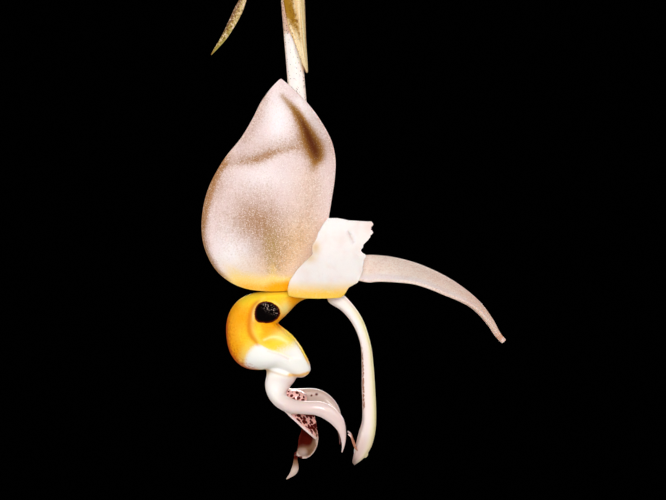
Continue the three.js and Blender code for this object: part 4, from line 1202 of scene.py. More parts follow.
    def inside_groove(self, x: Array, z: Array) -> Array:
        """1 on the side of the groove where the pouch's mouth is."""
        path = np.array(self.GROOVE)[:, :2]
        level = np.interp(x, path[4:, 0], path[4:, 1])
        left = np.interp(-z, -path[:5, 1], path[:5, 0])
        return smooth(z - level, 0, 0.9) * smooth(x - left, 0, 0.9) * smooth(-z, 3.4, 4.6)

    def paint(self, made: Skin, eye: Array, groove: Array, inner: Array) -> None:
        """Places the lip's colours.

        Args:
            made: The lip.
            eye: Above 0 on the points inside the dark eyes.
            groove: 1 along the groove.
            inner: 1 on the side of the groove where the mouth is.
        """
        place = flower_place(made.points)
        pouch = smooth(place[2], -29.5, -27.5)
        made.marks = {
            **self.pouch_marks(*place, groove, inner, pouch),
            **self.line_marks(*place, eye, groove, pouch),
            **self.end_marks(*place, *self.in_spoon(made.points)),
        }

    def pouch_marks(self, x: Array, y: Array, z: Array, groove: Array, inner: Array, pouch: Array) -> Marks:
        """Where the pouch is orange or white, where it turns lemon, and the painted shade, rust-brown, along
        its lower left edge.
        """
        below = mix(3.4, 9, smooth(x, -21, -17))
        up = (z - self.WHITE[1]) / np.where(z > self.WHITE[1], 8.4, below)
        white = np.hypot(np.minimum(x - self.WHITE[0], 0) / 8.2, up)
        keel = bump(y, 3.2) * smooth(x, -16, -19) * smooth(z, -3.5, -8)
        top = smooth(z, -11, -3) * smooth(x, -28, -22)
        golden = patch(x, z, (-22.4, -15.4), (3, 4.5))
        outside = np.maximum(smooth(white, 0.62, 1.26), keel) * mix(1, 0.5, top) * (1 - 0.3 * golden)
        mouth = smooth(z - 0.45 * (x + 14), -24.8, -11) * mix(1, 0.6, smooth(z, -9.5, -4))
        mouth *= 1 - 0.4 * patch(x, z, (-18.3, -14), (1.8, 3))
        mouth += 0.5 * patch(x, z, (-7.4, -4.4), (2.4, 1.6))
        rim = 0.7 * stroke(x, z, [[*row[2:4], 0.5] for row in self.POUCH[10:19]]) * smooth(z, -25.6, -22)
        rim += 0.4 * stroke(x, z, self.LOW_RIM)
        # The rust mark is painted shade where the pouch's lower left side turns from the light.
        low = smooth(x, -16, -21) * smooth(z, -5, -13)
        return {
            "orange": np.clip(np.maximum(mix(outside, mouth, inner), rim), 0, 1) * pouch,
            "lemon": np.clip(inner + groove + smooth(z, -11, -5) + golden, 0, 1),
            "rust": bump(y, 5.8) * low * pouch,
            "pinkish": smooth(z, -27, -29) * (1 - 0.8 * patch(x, z, (-14, -31), (5, 5))),
        }

    def line_marks(self, x: Array, y: Array, z: Array, eye: Array, groove: Array, pouch: Array) -> Marks:
        """The eye with its grit, painted shade in the groove and the folds, and painted highlights beside the
        groove, round the eyes and on the pouch.
        """
        aside = np.abs(y) > 2.5
        angle = np.arctan2(z - self.EYE[1], x - self.EYE[0])
        # Painted highlights: crescents on the eye's rim, a line beside the groove, and lit patches on the
        # pouch.
        crescents = bump(np.abs(angle) - np.pi, 0.55) + 0.7 * bump(angle - 0.6, 0.6)
        ring = bump(eye + 0.15, 0.11) * aside * crescents
        beside = stroke(x - 0.9, z - 0.4, self.GROOVE)
        light = 0.8 * stroke(x, z, self.LIGHT)
        lobe = 0.5 * patch(x, z, (-11.4, -15.4), (2.6, 1.8)) + 0.8 * patch(x, z, (-10.4, -7.6), (1.5, 2.1))
        # Painted shade in the crease and where the pouch overhangs the neck.
        crease = 0.16 * pouch * stroke(x, z, self.CREASE)
        seam = 0.4 * bump(z + 0.3 * x + 30.6, 0.4) * smooth(z, -30, -29) * smooth(x, -17.5, -16)
        # The groove mark is painted shade, strongest in the groove's left part.
        return {
            "eye": np.where(aside, eye, -1),
            "grit": stroke(x, z, self.GRIT) * (aside & (eye > 0)),
            "groove": groove * pouch * mix(0.08, 0.75, smooth(-x, 17, 19)),
            "ridge": np.clip(0.25 * beside + 0.8 * ring + light + lobe, 0, 1) * pouch,
            "fold": crease + seam + 0.6 * patch(x, z, (-16, -26.6), (1.2, 0.9)),
        }

    @staticmethod
    def end_marks(x: Array, y: Array, z: Array, spoon: Array, local_x: Array) -> Marks:
        """The spots of the flap, the painted shadow in the spoon, the dark of the hook, painted shade on the
        far horn, and the gloss of the horns.
        """
        pad = smooth(z, -36, -35.4) * smooth(z, -31.6, -32.4) * smooth(x, -10.4, -9.4) * smooth(x, -3.4, -4.4)
        flap = 1.25 * smooth(z, -38.8, -39.4) * smooth(z, -46.8, -46)
        flap *= smooth(x + 1.12 * (z + 40), -8.1, -7.2)
        hook = (z < -51.9) * (x < -5.4)
        tip = smooth(z, -56, -53.6) * hook
        dots = patch(x, z, (-1.1, -33.8), (0.6, 0.5)) + patch(x, z, (-2.6, -34.1), (0.4, 0.4))
        dots = dots * (y > 3) + 0.75 * smooth(z, -54.2, -52.4) * hook
        dots += 0.9 * patch(x, z, (-7.6, -51.3), (0.9, 0.8))
        dots += 0.8 * smooth(z, -43.5, -46.5) * (y > 2.6) * (x > 4)
        # Painted shadow in the spoon's top, darkest on its left, and on its left rim (edge), with the dark
        # dots.
        dark = spoon * smooth(z, -51.2, -47.6) * smooth(local_x, 2.8, 1.2) + dots
        edge = smooth(local_x, -1.6, -2.2) * smooth(z, -51.4, -50.2) * smooth(y, -3.4, -2.8)
        outer = 0.45 * smooth(z, -44, -47) + 0.35 * smooth(z, -52.4, -53.2)
        # Painted shade on the far horn.
        far = 0.85 * smooth(y, 2.6, 4.2) * smooth(z, -31.2, -32.5) * smooth(x, -9.5, -7)
        horn = np.maximum(smooth(z, -39.5, -38) * mix(0.3, 1, smooth(x, -11, -6)), smooth(x, -0.6, 0.6))
        # The olive mark in the spoon is painted half shade between its shadowed top and its lit bottom.
        return {
            "spots": np.clip(pad * smooth(y, -4.2, -3) * (y < 4.4) + flap * (y > -4.3), 0, 1.25),
            "dark": np.clip(dark + edge * (z < -41) * (x > -9) * (x < -4), 0, 1),
            "olive": 0.85 * np.clip(spoon * (bump(local_x - 2, 1) + bump(z + 49.2, 1.2)) + tip, 0, 1),
            "dusk": np.clip(0.8 * spoon * smooth(z, -49.6, -50.6) + outer * (x < 3) + far, 0, 0.9),
            "gloss": 0.75 * smooth(z, -27, -29) * horn,
        }

    def in_spoon(self, points: Array) -> tuple[Array, Array]:
        """1 on the hollow side of the spoon, and how far right of the spoon's middle each point is."""
        x, y, z = (points - FLOWER - self.SPOON).T
        cos, sin = math.cos(self.SPOON_TILT), math.sin(self.SPOON_TILT)
        turned = np.stack([x * cos - z * sin, y + 0.15, z * cos + x * sin], 1)
        reach = np.linalg.norm(turned / np.array(self.SPOON_SIZE), axis=1)
        return smooth(reach, 0.94, 0.9) * (z > -6) * smooth(y, -1.6, -1), turned[:, 0]


@dataclass
class Column:
    """The winged column, with a small tooth on each side of its tip."""

    name: str = "column_flesh"

    STATIONS: ClassVar = [
        [4, -1, 2.6, -2.9, 1.6], [7.8, -4.2, 2.4, -5.4, 2.1],
        [11.1, -8.1, 6.4, -8.3, 2.4], [13, -11.3, 9, -11.2, 2.5],
        [14.3, -14.9, 10.9, -14.6, 2.6], [15.4, -19.2, 12.1, -18.8, 2.9],
        [16.1, -25.2, 12.4, -25, 3.6], [16.5, -31, 12.4, -31, 4.6],
        [16.8, -36.8, 12.6, -36.8, 5.6], [16.8, -42.2, 12.5, -41.8, 6.2],
        [16.3, -46, 11.6, -44.9, 6], [15.2, -49.4, 10.8, -48, 5],
        [13.3, -52.2, 10.2, -50.9, 3.6], [10.4, -54.6, 9.6, -53.6, 1.6],
    ]
    TOOTH: ClassVar = [
        [12.4, -3.4, -50.4], [10.8, -4.2, -49.3], [9.9, -4.3, -47.4], [9.2, -4.1, -45.6], [8.4, -3.9, -44.9],
    ]

    def build(self) -> Skin:
        """The column's skin with its marks."""
        made = RailBody(
            self.STATIONS, 150, 72, outer_power=3,
            inner_power=lambda u: mix(2.4, 5, smooth(u, 0.1, 0.4)), dish=lambda u: 0.8 * smooth(u, 0.3, 0.6),
        ).skin()
        for side in (-1, 1):
            line = Line(np.array(self.TOOTH) * [1, side, 1] + FLOWER)
            tooth = loft(tube(line.even(20), lambda u: 0.38 - 0.14 * u, 12))
            share = tooth.marks["u"]
            tooth.marks["tooth"] = 0.8 * smooth(share, 0.1, 0.3) * smooth(share, 0.9, 0.75)
            made = made.with_skin(tooth)
        made = made.with_skin(ball(FLOWER + [13.5, -0.8, -51.3], (0.9, 1.4, 1.1), 0.4, 16, 24))
        x, y, z = flower_place(made.points)
        marks = made.marks
        rows = np.array(self.STATIONS)
        outer = np.interp(-z, -rows[:, 1], rows[:, 0])
        inner = np.interp(-z, -rows[:, 3], rows[:, 2])
        share = (x - inner) / np.maximum(outer - inner, 0.5)
        low = smooth(z, -4, -12)
        marks["green"] = smooth(share, 0.42, 1.0) * low
        lower = np.maximum(smooth(z, -40, -50), 0.45 * smooth(z, -12, -24))
        marks["pinkish"] = lower * mix(1, 0.5, smooth(share, 0.3, 0.9))
        line = np.clip(1.3 * bump(share - 0.12, 0.06), 0, 1)
        marks["specks"] = line * smooth(z, -16, -23) * smooth(z, -39, -36) * (np.abs(y) > 1)
        # The tip mark is painted shade at the column's tip and in the recess of its inner edge above it.
        marks["tip"] = np.maximum(smooth(z, -53, -54.4), 0.9 * patch(x, z, (9.7, -53.8), (1.6, 2.4)))
        return made


@dataclass
class AntherCap:
    """The oval cap under the column's tip."""

    name: str = "anther_cap_wax"
    middle: tuple[float, float, float] = (11.7, 0, -49.6)
    size: tuple[float, float, float] = (1.3, 1.9, 2.2)
    tilt: float = 0.5

    def build(self) -> Skin:
        """The cap's skin, a little greyed."""
        made = ball(FLOWER + self.middle, self.size, self.tilt, 30, 40)
        made.marks["tip"] = np.full(len(made.points), 0.1)
        return made


@dataclass
class Stalk:
    """The flower's stalk with the heart where the flower's pieces meet."""

    name: str = "stalk_flesh"

    LINE: ClassVar = [
        STALK_TOP + [0.1, 0, -1.4], FLOWER + [-9.2, 0, 85], FLOWER + [-7.2, 0, 61],
        FLOWER + [-4.6, 0, 30], FLOWER + [-1.6, 0, 8], FLOWER,
    ]

    def build(self) -> Skin:
        """The stalk's skin with its marks."""
        points = Line(self.LINE).even(140)
        made = loft(tube(points, lambda u: 2.55 + 0.5 * bump(u - 0.8, 0.3), 40))
        turn = made.marks["turn"]
        middle = np.stack([np.interp(made.points[:, 2], points[::-1, 2], points[::-1, i]) for i in (0, 1)], 1)
        groove = 1 - 0.025 * (0.5 + 0.5 * np.cos(12 * np.pi * turn))
        made.points[:, :2] = middle + (made.points[:, :2] - middle) * groove[:, None]
        made = made.with_skin(ball(FLOWER + [0.4, 0, 0.6], (3.4, 3.4, 3.4), 0, 24, 32))
        # Pinkish tan on the stalk above a level near its top.
        made.marks["skin"] = smooth(made.points[:, 2] - FLOWER[2], 74.6, 75.2)
        # The side mark is painted shade along the stalk's left and right edges, which turn from the light.
        away = made.points[:, 0] - np.interp(made.points[:, 2], points[::-1, 2], points[::-1, 0])
        made.marks["side"] = smooth(np.abs(away), 1.7, 2.6)
        return made


@dataclass
class Bract:
    """A papery bract that wraps a stalk, from one share of its line to another."""

    name: str
    line: Rows
    start: float
    end: float
    radius: float
    wrap: float
    facing: float
    flare: float
    swell: float = 0

    def surface(self, u: Array, v: Array) -> Array:
        """The blade's middle surface."""
        angle = self.facing + v * (self.wrap * (1 - u**4) ** 0.6 + 0.12)
        reach = self.radius + self.flare * u * u + self.swell * bump(u - 0.45, 0.35)
        reach = reach + 0.12 * np.cos(9 * v * self.wrap) * (1 - u)
        way = np.stack([np.cos(angle), np.sin(angle), 0 * angle], -1)
        out = reach[..., None] * np.sign(way) * np.abs(way) ** 0.72
        return Line(self.line).at(mix(self.start, self.end, u)) + out

    def build(self) -> Skin:
        """The bract's skin with its marks."""
        made = shell(self.surface, lambda u, v: 0.7 - 0.3 * np.abs(v) ** 4, 70, 60, 0.06)
        u, v = made.marks["u"], made.marks["v"]
        rims = 0.55 * smooth(np.abs(v), 0.85, 1) + 0.3 * smooth(u, 0.93, 1)
        made.marks["edge"] = rims + 0.75 * bump(v, 0.1) * smooth(u, 0.95, 0.8)
        # The fold mark is painted shade in the inner fold along one edge.
        fold = np.interp(u, [0.3, 0.45, 0.58, 0.69, 0.82, 1], [-1, -0.96, -0.88, -0.74, -0.6, -0.37])
        made.marks["fold"] = bump(v - fold, 0.2) * smooth(u, 0.95, 0.5)
        made.marks["green"] = 0.3 * bump(v + 0.2, 0.2)
        return made


@dataclass
class SideBract:
    """The free narrow bract beside the stalk."""

    name: str = "side_bract_blade"

    LINE: ClassVar = [
        STALK_TOP + [-4.6, 0, 0.4], FLOWER + [-17.8, 0, 98], FLOWER + [-24.2, 0, 82.4],
        FLOWER + [-28.6, 0, 74], FLOWER + [-32.7, 0, 68.4],
    ]

    def surface(self, u: Array, v: Array) -> Array:
        """The blade's middle surface."""
        half = 1.45 * np.sin(np.pi * mix(0.28, 0.97, u)) * (1 - 0.45 * smooth(u, 0.52, 0.42))
        across = np.stack([v * half * 0.86, -0.9 * (1 - v * v) * (1 - u), -v * half * 0.51], -1)
        return Line(self.LINE).at(u) + across

    def build(self) -> Skin:
        """The bract's skin with its marks."""
        made = shell(self.surface, lambda u, v: 0.7 - 0.2 * v * v, 80, 24, 0.12)
        u, v = made.marks["u"], made.marks["v"]
        made.marks["green"] = mix(0.35, 0.9, smooth(u, 0.5, 0.75))
        edge = 0.6 * smooth(-v, -0.2, 0.7) + 0.34 * smooth(u, 0.85, 0.5)
        made.marks["edge"] = edge + 0.5 * smooth(u, 0.93, 1)
        made.marks["mottle"] = mix(0.6, 0.95, smooth(u, 0.85, 0.6))
        made.marks["fold"] = 0.5 * bump(v, 0.4) * smooth(u, 0.3, 0.6)
        return made


# Geometry trees


class Growth(Graph):
    """A geometry tree with named inputs, whose result becomes a plain mesh."""

    def __init__(self, name: str, inputs: dict[str, str]) -> None:
        """Starts a tree.

        Args:
            name: The tree's name.
            inputs: The type of each input besides the geometry, by its name.
        """
        super().__init__(bpy.data.node_groups.new(name, "GeometryNodeTree"))
        self.sockets = {}
        face = self.tree.interface
        face.new_socket("Geometry", in_out="INPUT", socket_type="NodeSocketGeometry")
        face.new_socket("Geometry", in_out="OUTPUT", socket_type="NodeSocketGeometry")
        for key, kind in inputs.items():
            socket = face.new_socket(key, in_out="INPUT", socket_type=f"NodeSocket{kind}")
            self.sockets[key] = socket.identifier
        self.given = self.node("NodeGroupInput")

    def stored(self, name: str) -> Wire:
        """A number that the geometry keeps on its points."""
        return self.node("GeometryNodeInputNamedAttribute", {"Name": name}, data_type="FLOAT")("Attribute")

    def keep(self, shape: Wire, name: str, value: Wire, domain: str = "POINT") -> Wire:
        """The geometry with a number kept on it."""
        inputs = {"Geometry": shape, "Name": name, "Value": value}
        return self.node("GeometryNodeStoreNamedAttribute", inputs, data_type="FLOAT", domain=domain)()

    def random(self, low: Sequence[float], high: Sequence[float]) -> Wire:
        """Three random numbers for each thing that the tree strews."""
        inputs = {0: low, 1: high, "Seed": self.given("Seed")}
        return self.node("FunctionNodeRandomValue", inputs, data_type="FLOAT_VECTOR")(0)

    def rough(self, shape: Wire, amount: Wire, size: Wire) -> Wire:
        """The geometry with its points moved in and out by noise of the given size."""
        place = self.node("GeometryNodeInputPosition")()
        noise = self.node("ShaderNodeTexNoise", {"Vector": place, "Scale": 1 / size, "Detail": 3.0})("Fac")
        normal = self.node("GeometryNodeInputNormal")()
        offset = self.scaled(normal, (noise - 0.5) * amount)
        return self.node("GeometryNodeSetPosition", {"Geometry": shape, "Offset": offset})()

    def finish(self, shape: Wire) -> Growth:
        """Ends the tree with a plain smooth mesh that wears the material."""
        smoothed = self.node("GeometryNodeSetShadeSmooth", {"Geometry": shape, "Shade Smooth": True})()
        real = self.node("GeometryNodeRealizeInstances", {"Geometry": smoothed})()
        inputs = {"Geometry": real, "Material": self.given("Material")}
        dressed = self.node("GeometryNodeSetMaterial", inputs)()
        self.node("NodeGroupOutput", {"Geometry": dressed})
        return self

    def grow(self, name: str, start: Mesh, finish: Finish, **values: float) -> Object:
        """Runs the tree on a mesh.

        Args:
            name: The new object's name.
            start: The mesh that the tree gets.
            finish: What the result wears.
            values: The tree's other inputs, lengths in metres.

        Returns:
            A new object with the result as a plain mesh.
        """
        piece = added(name, start)
        modifier = piece.modifiers.new("growth", "NODES")
        modifier.node_group = self.tree
        for key, value in {"Material": finish.material(), **values}.items():
            modifier[self.sockets[key]] = value
        made = evaluated(piece)
        piece.modifiers.remove(modifier)
        piece.data = made
        made.name = name
        return piece


class Section(Enum):
    """The section that a swept piece has."""

    ROUND = "round"
    SLAT = "slat"


def sweep_tree(section: Section) -> Growth:
    """A tree that sweeps a section along the edges of a mesh, as wide as the mark reach says."""
    tree = Growth(f"sweep_{section.value}", {
        "Material": "Material", "Sides": "Int", "Width": "Float", "Height": "Float", "Corner": "Float",
        "Rough": "Float", "Grain": "Float",
    })
    line = tree.node("GeometryNodeMeshToCurve", {"Mesh": tree.given("Geometry")})()
    ends = tree.node("GeometryNodeSplineParameter")
    line = tree.keep(line, "along", ends("Length"))
    line = tree.keep(line, "strip", tree.node("GeometryNodeInputIndex")(), "CURVE")
    if section is Section.ROUND:
        inputs = {"Resolution": tree.given("Sides"), "Radius": 1.0}
        profile = tree.node("GeometryNodeCurvePrimitiveCircle", inputs)("Curve")
    else:
        line = tree.node("GeometryNodeSetCurveNormal", {"Curve": line}, mode="Z_UP")()
        inputs = {name: tree.given(name) for name in ("Width", "Height")}
        square = tree.node("GeometryNodeCurvePrimitiveQuadrilateral", inputs)()
        inputs = {"Curve": square, "Count": 3, "Radius": tree.given("Corner"), "Limit Radius": True}
        corners = tree.node("GeometryNodeFilletCurve", inputs, mode="POLY")()
        inputs = {"Curve": corners, "Count": tree.given("Sides")}
        profile = tree.node("GeometryNodeResampleCurve", inputs, mode="COUNT")()
    inputs = {"Curve": line, "Profile Curve": profile, "Scale": tree.stored("reach"), "Fill Caps": True}
    swept = tree.node("GeometryNodeCurveToMesh", inputs)()
    return tree.finish(tree.rough(swept, tree.given("Rough"), tree.given("Grain")))


def thread(lines: Sequence[Array], reach: Callable[[Array], Array]) -> Mesh:
    """Lines of points as the edges of a mesh, with the mark reach for how wide they are swept."""
    made = bpy.data.meshes.new("thread")
    points = np.vstack(lines) * MM
    starts = np.cumsum([0, *(len(line) for line in lines)])
    edges = [(i, i + 1) for a, b in zip(starts, starts[1:]) for i in range(a, b - 1)]
    made.from_pydata(points.tolist(), edges, [])
    keep_mark(made, "reach", np.concatenate([reach(np.linspace(0, 1, len(line))) for line in lines]))
    return made


def circle(sides: int) -> Array:
    """A ring of points of radius 1 round Z."""
    turn = np.linspace(0, 2 * np.pi, sides, endpoint=False)
    return np.stack([np.cos(turn), np.sin(turn), 0 * turn], 1)


def blunt(t: Array, share: float, end: float) -> Array:
    """1 along a line, falling to the given value over a share of it at each end."""
    return mix(end, 1.0, smooth(np.minimum(t, 1 - t), 0, share))


def rounded(corners: Sequence[Array], radius: float, steps: int = 8) -> Array:
    """A bent wire's line: straight runs with each corner rounded by a short curve."""
    out = [corners[0]]
    for before, corner, after in zip(corners, corners[1:], corners[2:]):
        start = corner + (before - corner) / np.linalg.norm(before - corner) * radius
        end = corner + (after - corner) / np.linalg.norm(after - corner) * radius
        t = np.linspace(0, 1, steps)[:, None]
        out.extend((1 - t) ** 2 * start + 2 * t * (1 - t) * corner + t**2 * end)
    return np.array([*out, corners[-1]])


# Finishes of the plant, the pot and the hanger


@dataclass(frozen=True)
class SteelFinish(Finish):
    """Dull zinc-coated steel wire with faint drawing lines and a little rust."""

    zinc: Colour = shade(150, 152, 152)
    dark: Colour = shade(96, 98, 98)
    rust: Colour = shade(108, 68, 44)

    def surface(self, s: Shading) -> Sockets:
        """Spangle, scratches and rust."""
        spangle = s.node("ShaderNodeSeparateColor", {0: s.cells(1.6, output="Color")})()
        fine = s.noise(0.35, 3, 0.7)
        rust = s.step(s.noise(5, 4, 0.7), 0.6, 0.68)
        colour = s.blend(fine * 0.5 + spangle * 0.5, self.dark, self.zinc)
        colour = s.blend(rust * 0.6, colour, self.rust)
        return {
            "Base Color": colour,
            "Metallic": 1 - rust * 0.7,
            "Roughness": 0.34 + fine * 0.2 + rust * 0.3,
            "Normal": s.relief(fine, 0.04),
        }


@dataclass(frozen=True)
class WoodFinish(Finish):
    """Weathered reddish-brown slat with long grain, worn pale edges, and painted shade round the wires where
    they pass through.
    """

    dark: Colour = shade(84, 50, 30)
    warm: Colour = shade(146, 94, 56)
    pale: Colour = shade(176, 136, 98)
    grey: Colour = shade(132, 118, 102)
    # This colour is painted shade round each wire where it passes through a slat.
    hole: Colour = shade(26, 16, 10)

    def surface(self, s: Shading) -> Sockets:
        """Grain that runs along each slat and differs from one to the next."""
        x, y, z = (s.node("ShaderNodeSeparateXYZ", {0: s.place()})(i) for i in range(3))
        strip = s.mark("strip")
        across = s.mark("crosswise")
        lengthwise = x * (1 - across) + y * across
        sideways = y * (1 - across) + x * across
        place = s.along(lengthwise * 22 + strip * 3.7, sideways * 420 + strip * 11.3, z * 420)
        grain = s.noise(1.0, 4, 0.65, place)
        place = s.along(lengthwise * 8 + strip * 5.1, sideways * 120, z * 120 + strip * 2.3)
        rings = s.noise(1.0, place=place)
        fibre = s.noise(1.0, 2, 0.7, s.along(lengthwise * 90, sideways * 2200, z * 2200))
        edge = s.mark("worn")
        colour = s.layered(
            self.dark,
            (s.step(grain * 0.6 + rings * 0.5, 0.35, 0.75), self.warm),
            (s.step(fibre + grain * 0.5, 0.7, 1.0) * 0.45, self.pale),
            (s.step(s.noise(22, 3, 0.6), 0.45, 0.75) * 0.55, self.grey),
            (edge * s.step(s.noise(7, 3, 0.6), 0.3, 0.7) * 0.55, self.pale),
            ("hole", self.hole),
        )
        return {
            "Base Color": colour,
            "Roughness": 0.68 + grain * 0.2,
            "Normal": s.relief(grain * 0.5 + fibre * 0.5, 0.35),
            "Specular IOR Level": 0.25,
        }


@dataclass(frozen=True)
class BarkFinish(Finish):
    """Orchid bark: dark reddish chips with paler broken faces."""

    dark: Colour = shade(58, 36, 24)
    warm: Colour = shade(112, 70, 42)
    pale: Colour = shade(158, 116, 78)

    def surface(self, s: Shading) -> Sockets:
        """Layers in each chip, and a different tone from chip to chip."""
        tone = s.mark("chip")
        layer = s.noise(2.6, 4, 0.65)
        fine = s.noise(0.7, 3, 0.7)
        colour = s.blend(s.step(layer * 0.7 + tone * 0.5, 0.35, 0.85), self.dark, self.warm)
        colour = s.blend(s.step(tone + fine * 0.4, 0.85, 1.2) * 0.7, colour, self.pale)
        return {
            "Base Color": colour,
            "Roughness": 0.85,
            "Normal": s.relief(layer * 0.6 + fine * 0.4, 0.6),
            "Specular IOR Level": 0.2,
        }


@dataclass(frozen=True)
class BulbFinish(Finish):
    """Glossy green bulb, yellower on its ribs, with fine wrinkles and brown scars at its foot."""

    green: Colour = shade(86, 118, 44)
    light: Colour = shade(148, 164, 76)
    brown: Colour = shade(116, 84, 48)

    def surface(self, s: Shading) -> Sockets:
        """Wrinkles and flecks between the ribs."""
        fine = s.noise(1.1, 3, 0.6)
        cloud = s.noise(9, 3, 0.6)
        foot = s.step(s.mark("share") + (fine - 0.5) * 0.12, 0.16, 0.02)
        colour = s.layered(
            self.green,
            (s.step(cloud + fine * 0.3, 0.4, 0.85), self.light),
            (s.mark("rib") * 0.45, self.light),
            (s.step(s.cells(3.4), 0.16, 0.08) * s.step(s.noise(7), 0.5, 0.6) * 0.6, self.brown),
            (foot * 0.8, self.brown),
        )
        return {
            "Base Color": colour,
            "Roughness": 0.38 + fine * 0.18,
            "Normal": s.relief(fine, 0.12),
            "Coat Weight": 0.15,
            "Coat Roughness": 0.3,
        }


@dataclass(frozen=True)
class LeafFinish(Finish):
    """Dark green pleated leaf with many long veins, a pale midrib and a few dry flecks."""

    green: Colour = shade(58, 104, 38)
    light: Colour = shade(112, 148, 62)
    deep: Colour = shade(34, 74, 26)
    dry: Colour = shade(158, 128, 70)

    def surface(self, s: Shading) -> Sockets:
        """Long veins that follow the pleats."""
        u, v = s.mark("u"), s.mark("v")
        veins = s.math("SINE", v * 150)
        cloud = s.noise(16, 3, 0.55)
        fine = s.noise(1.0, 3, 0.6)
        flecks = s.step(s.cells(7), 0.1, 0.05) * s.step(s.noise(18), 0.5, 0.6)
        edge = s.step(s.math("ABSOLUTE", v) + (fine - 0.5) * 0.03, 0.975, 0.995)
        tip = s.step(u + (fine - 0.5) * 0.02, 0.975, 0.99)
        colour = s.layered(
            self.deep,
            (s.step(cloud, 0.35, 0.7), self.green),
            (s.step(veins + fine * 0.6, 0.7, 1.4) * 0.3, self.light),
            (s.mark("rib") * 0.7, self.light),
            (s.step(u + fine * 0.1, 0.18, 0.02) * 0.6, self.light),
            (flecks * 0.8, self.dry),
            (edge * 0.4 + tip * 0.6, self.dry),
        )
        return {
            "Base Color": colour,
            "Roughness": 0.42 + fine * 0.2,
            "Normal": s.relief(veins * 0.35 + fine * 0.3, 0.16),
            "Specular IOR Level": 0.4,
        }


@dataclass(frozen=True)
class SheathFinish(Finish):
    """Old papery sheath, straw-brown with dark fibres."""

    straw: Colour = shade(186, 158, 108)
    brown: Colour = shade(112, 80, 48)
    grey: Colour = shade(160, 146, 122)

    def surface(self, s: Shading) -> Sockets:
        """Long fibres, darker where the sheath is torn."""
        fibre = s.noise(1.0, 3, 0.7, s.along(s.mark("v") * 55, s.mark("u") * 3))
        cloud = s.noise(6, 3, 0.6)
        colour = s.layered(
            self.brown,
            (s.step(fibre, 0.4, 0.6), self.straw),
            (s.step(cloud, 0.45, 0.7) * 0.6, self.grey),
            (s.step(s.mark("u") + (fibre - 0.5) * 0.5, 0.8, 1.0) * 0.7, self.brown),
        )
        return {
            "Base Color": colour,
            "Roughness": 0.8,
            "Normal": s.relief(fibre, 0.4),
            "Specular IOR Level": 0.2,
        }


@dataclass(frozen=True)
class RootFinish(Finish):
    """Root with a silvery velvety skin and a green growing tip."""

    silver: Colour = shade(190, 188, 172)
    tan: Colour = shade(148, 128, 96)
    green: Colour = shade(116, 140, 70)

    def surface(self, s: Shading) -> Sockets:
        """Velvety specks, browner where the root is old."""
        fine = s.noise(0.5, 3, 0.7)
        cloud = s.noise(6, 3, 0.6)
        colour = s.blend(s.step(cloud + fine * 0.3, 0.45, 0.85), self.silver, self.tan)
        colour = s.blend(s.step(s.mark("growing") + (fine - 0.5) * 0.1, 0.4, 0.6), colour, self.green)
        return {
            "Base Color": colour,
            "Roughness": 0.9,
            "Normal": s.relief(fine, 0.15),
            "Specular IOR Level": 0.2,
        }


@dataclass(frozen=True)
class SpikeFinish(Finish):
    """Green flower spike, flushed with brown."""

    green: Colour = shade(132, 146, 74)
    brown: Colour = shade(134, 92, 62)

    def surface(self, s: Shading) -> Sockets:
        """Brown flecks along the green."""
        fine = s.noise(0.8, 3, 0.6)
        cloud = s.noise(7, 3, 0.6)
        colour = s.blend(s.step(cloud + fine * 0.35, 0.5, 0.85) * 0.7, self.green, self.brown)
        return {"Base Color": colour, "Roughness": 0.5 + fine * 0.15, "Normal": s.relief(fine, 0.1)}


# Hanger


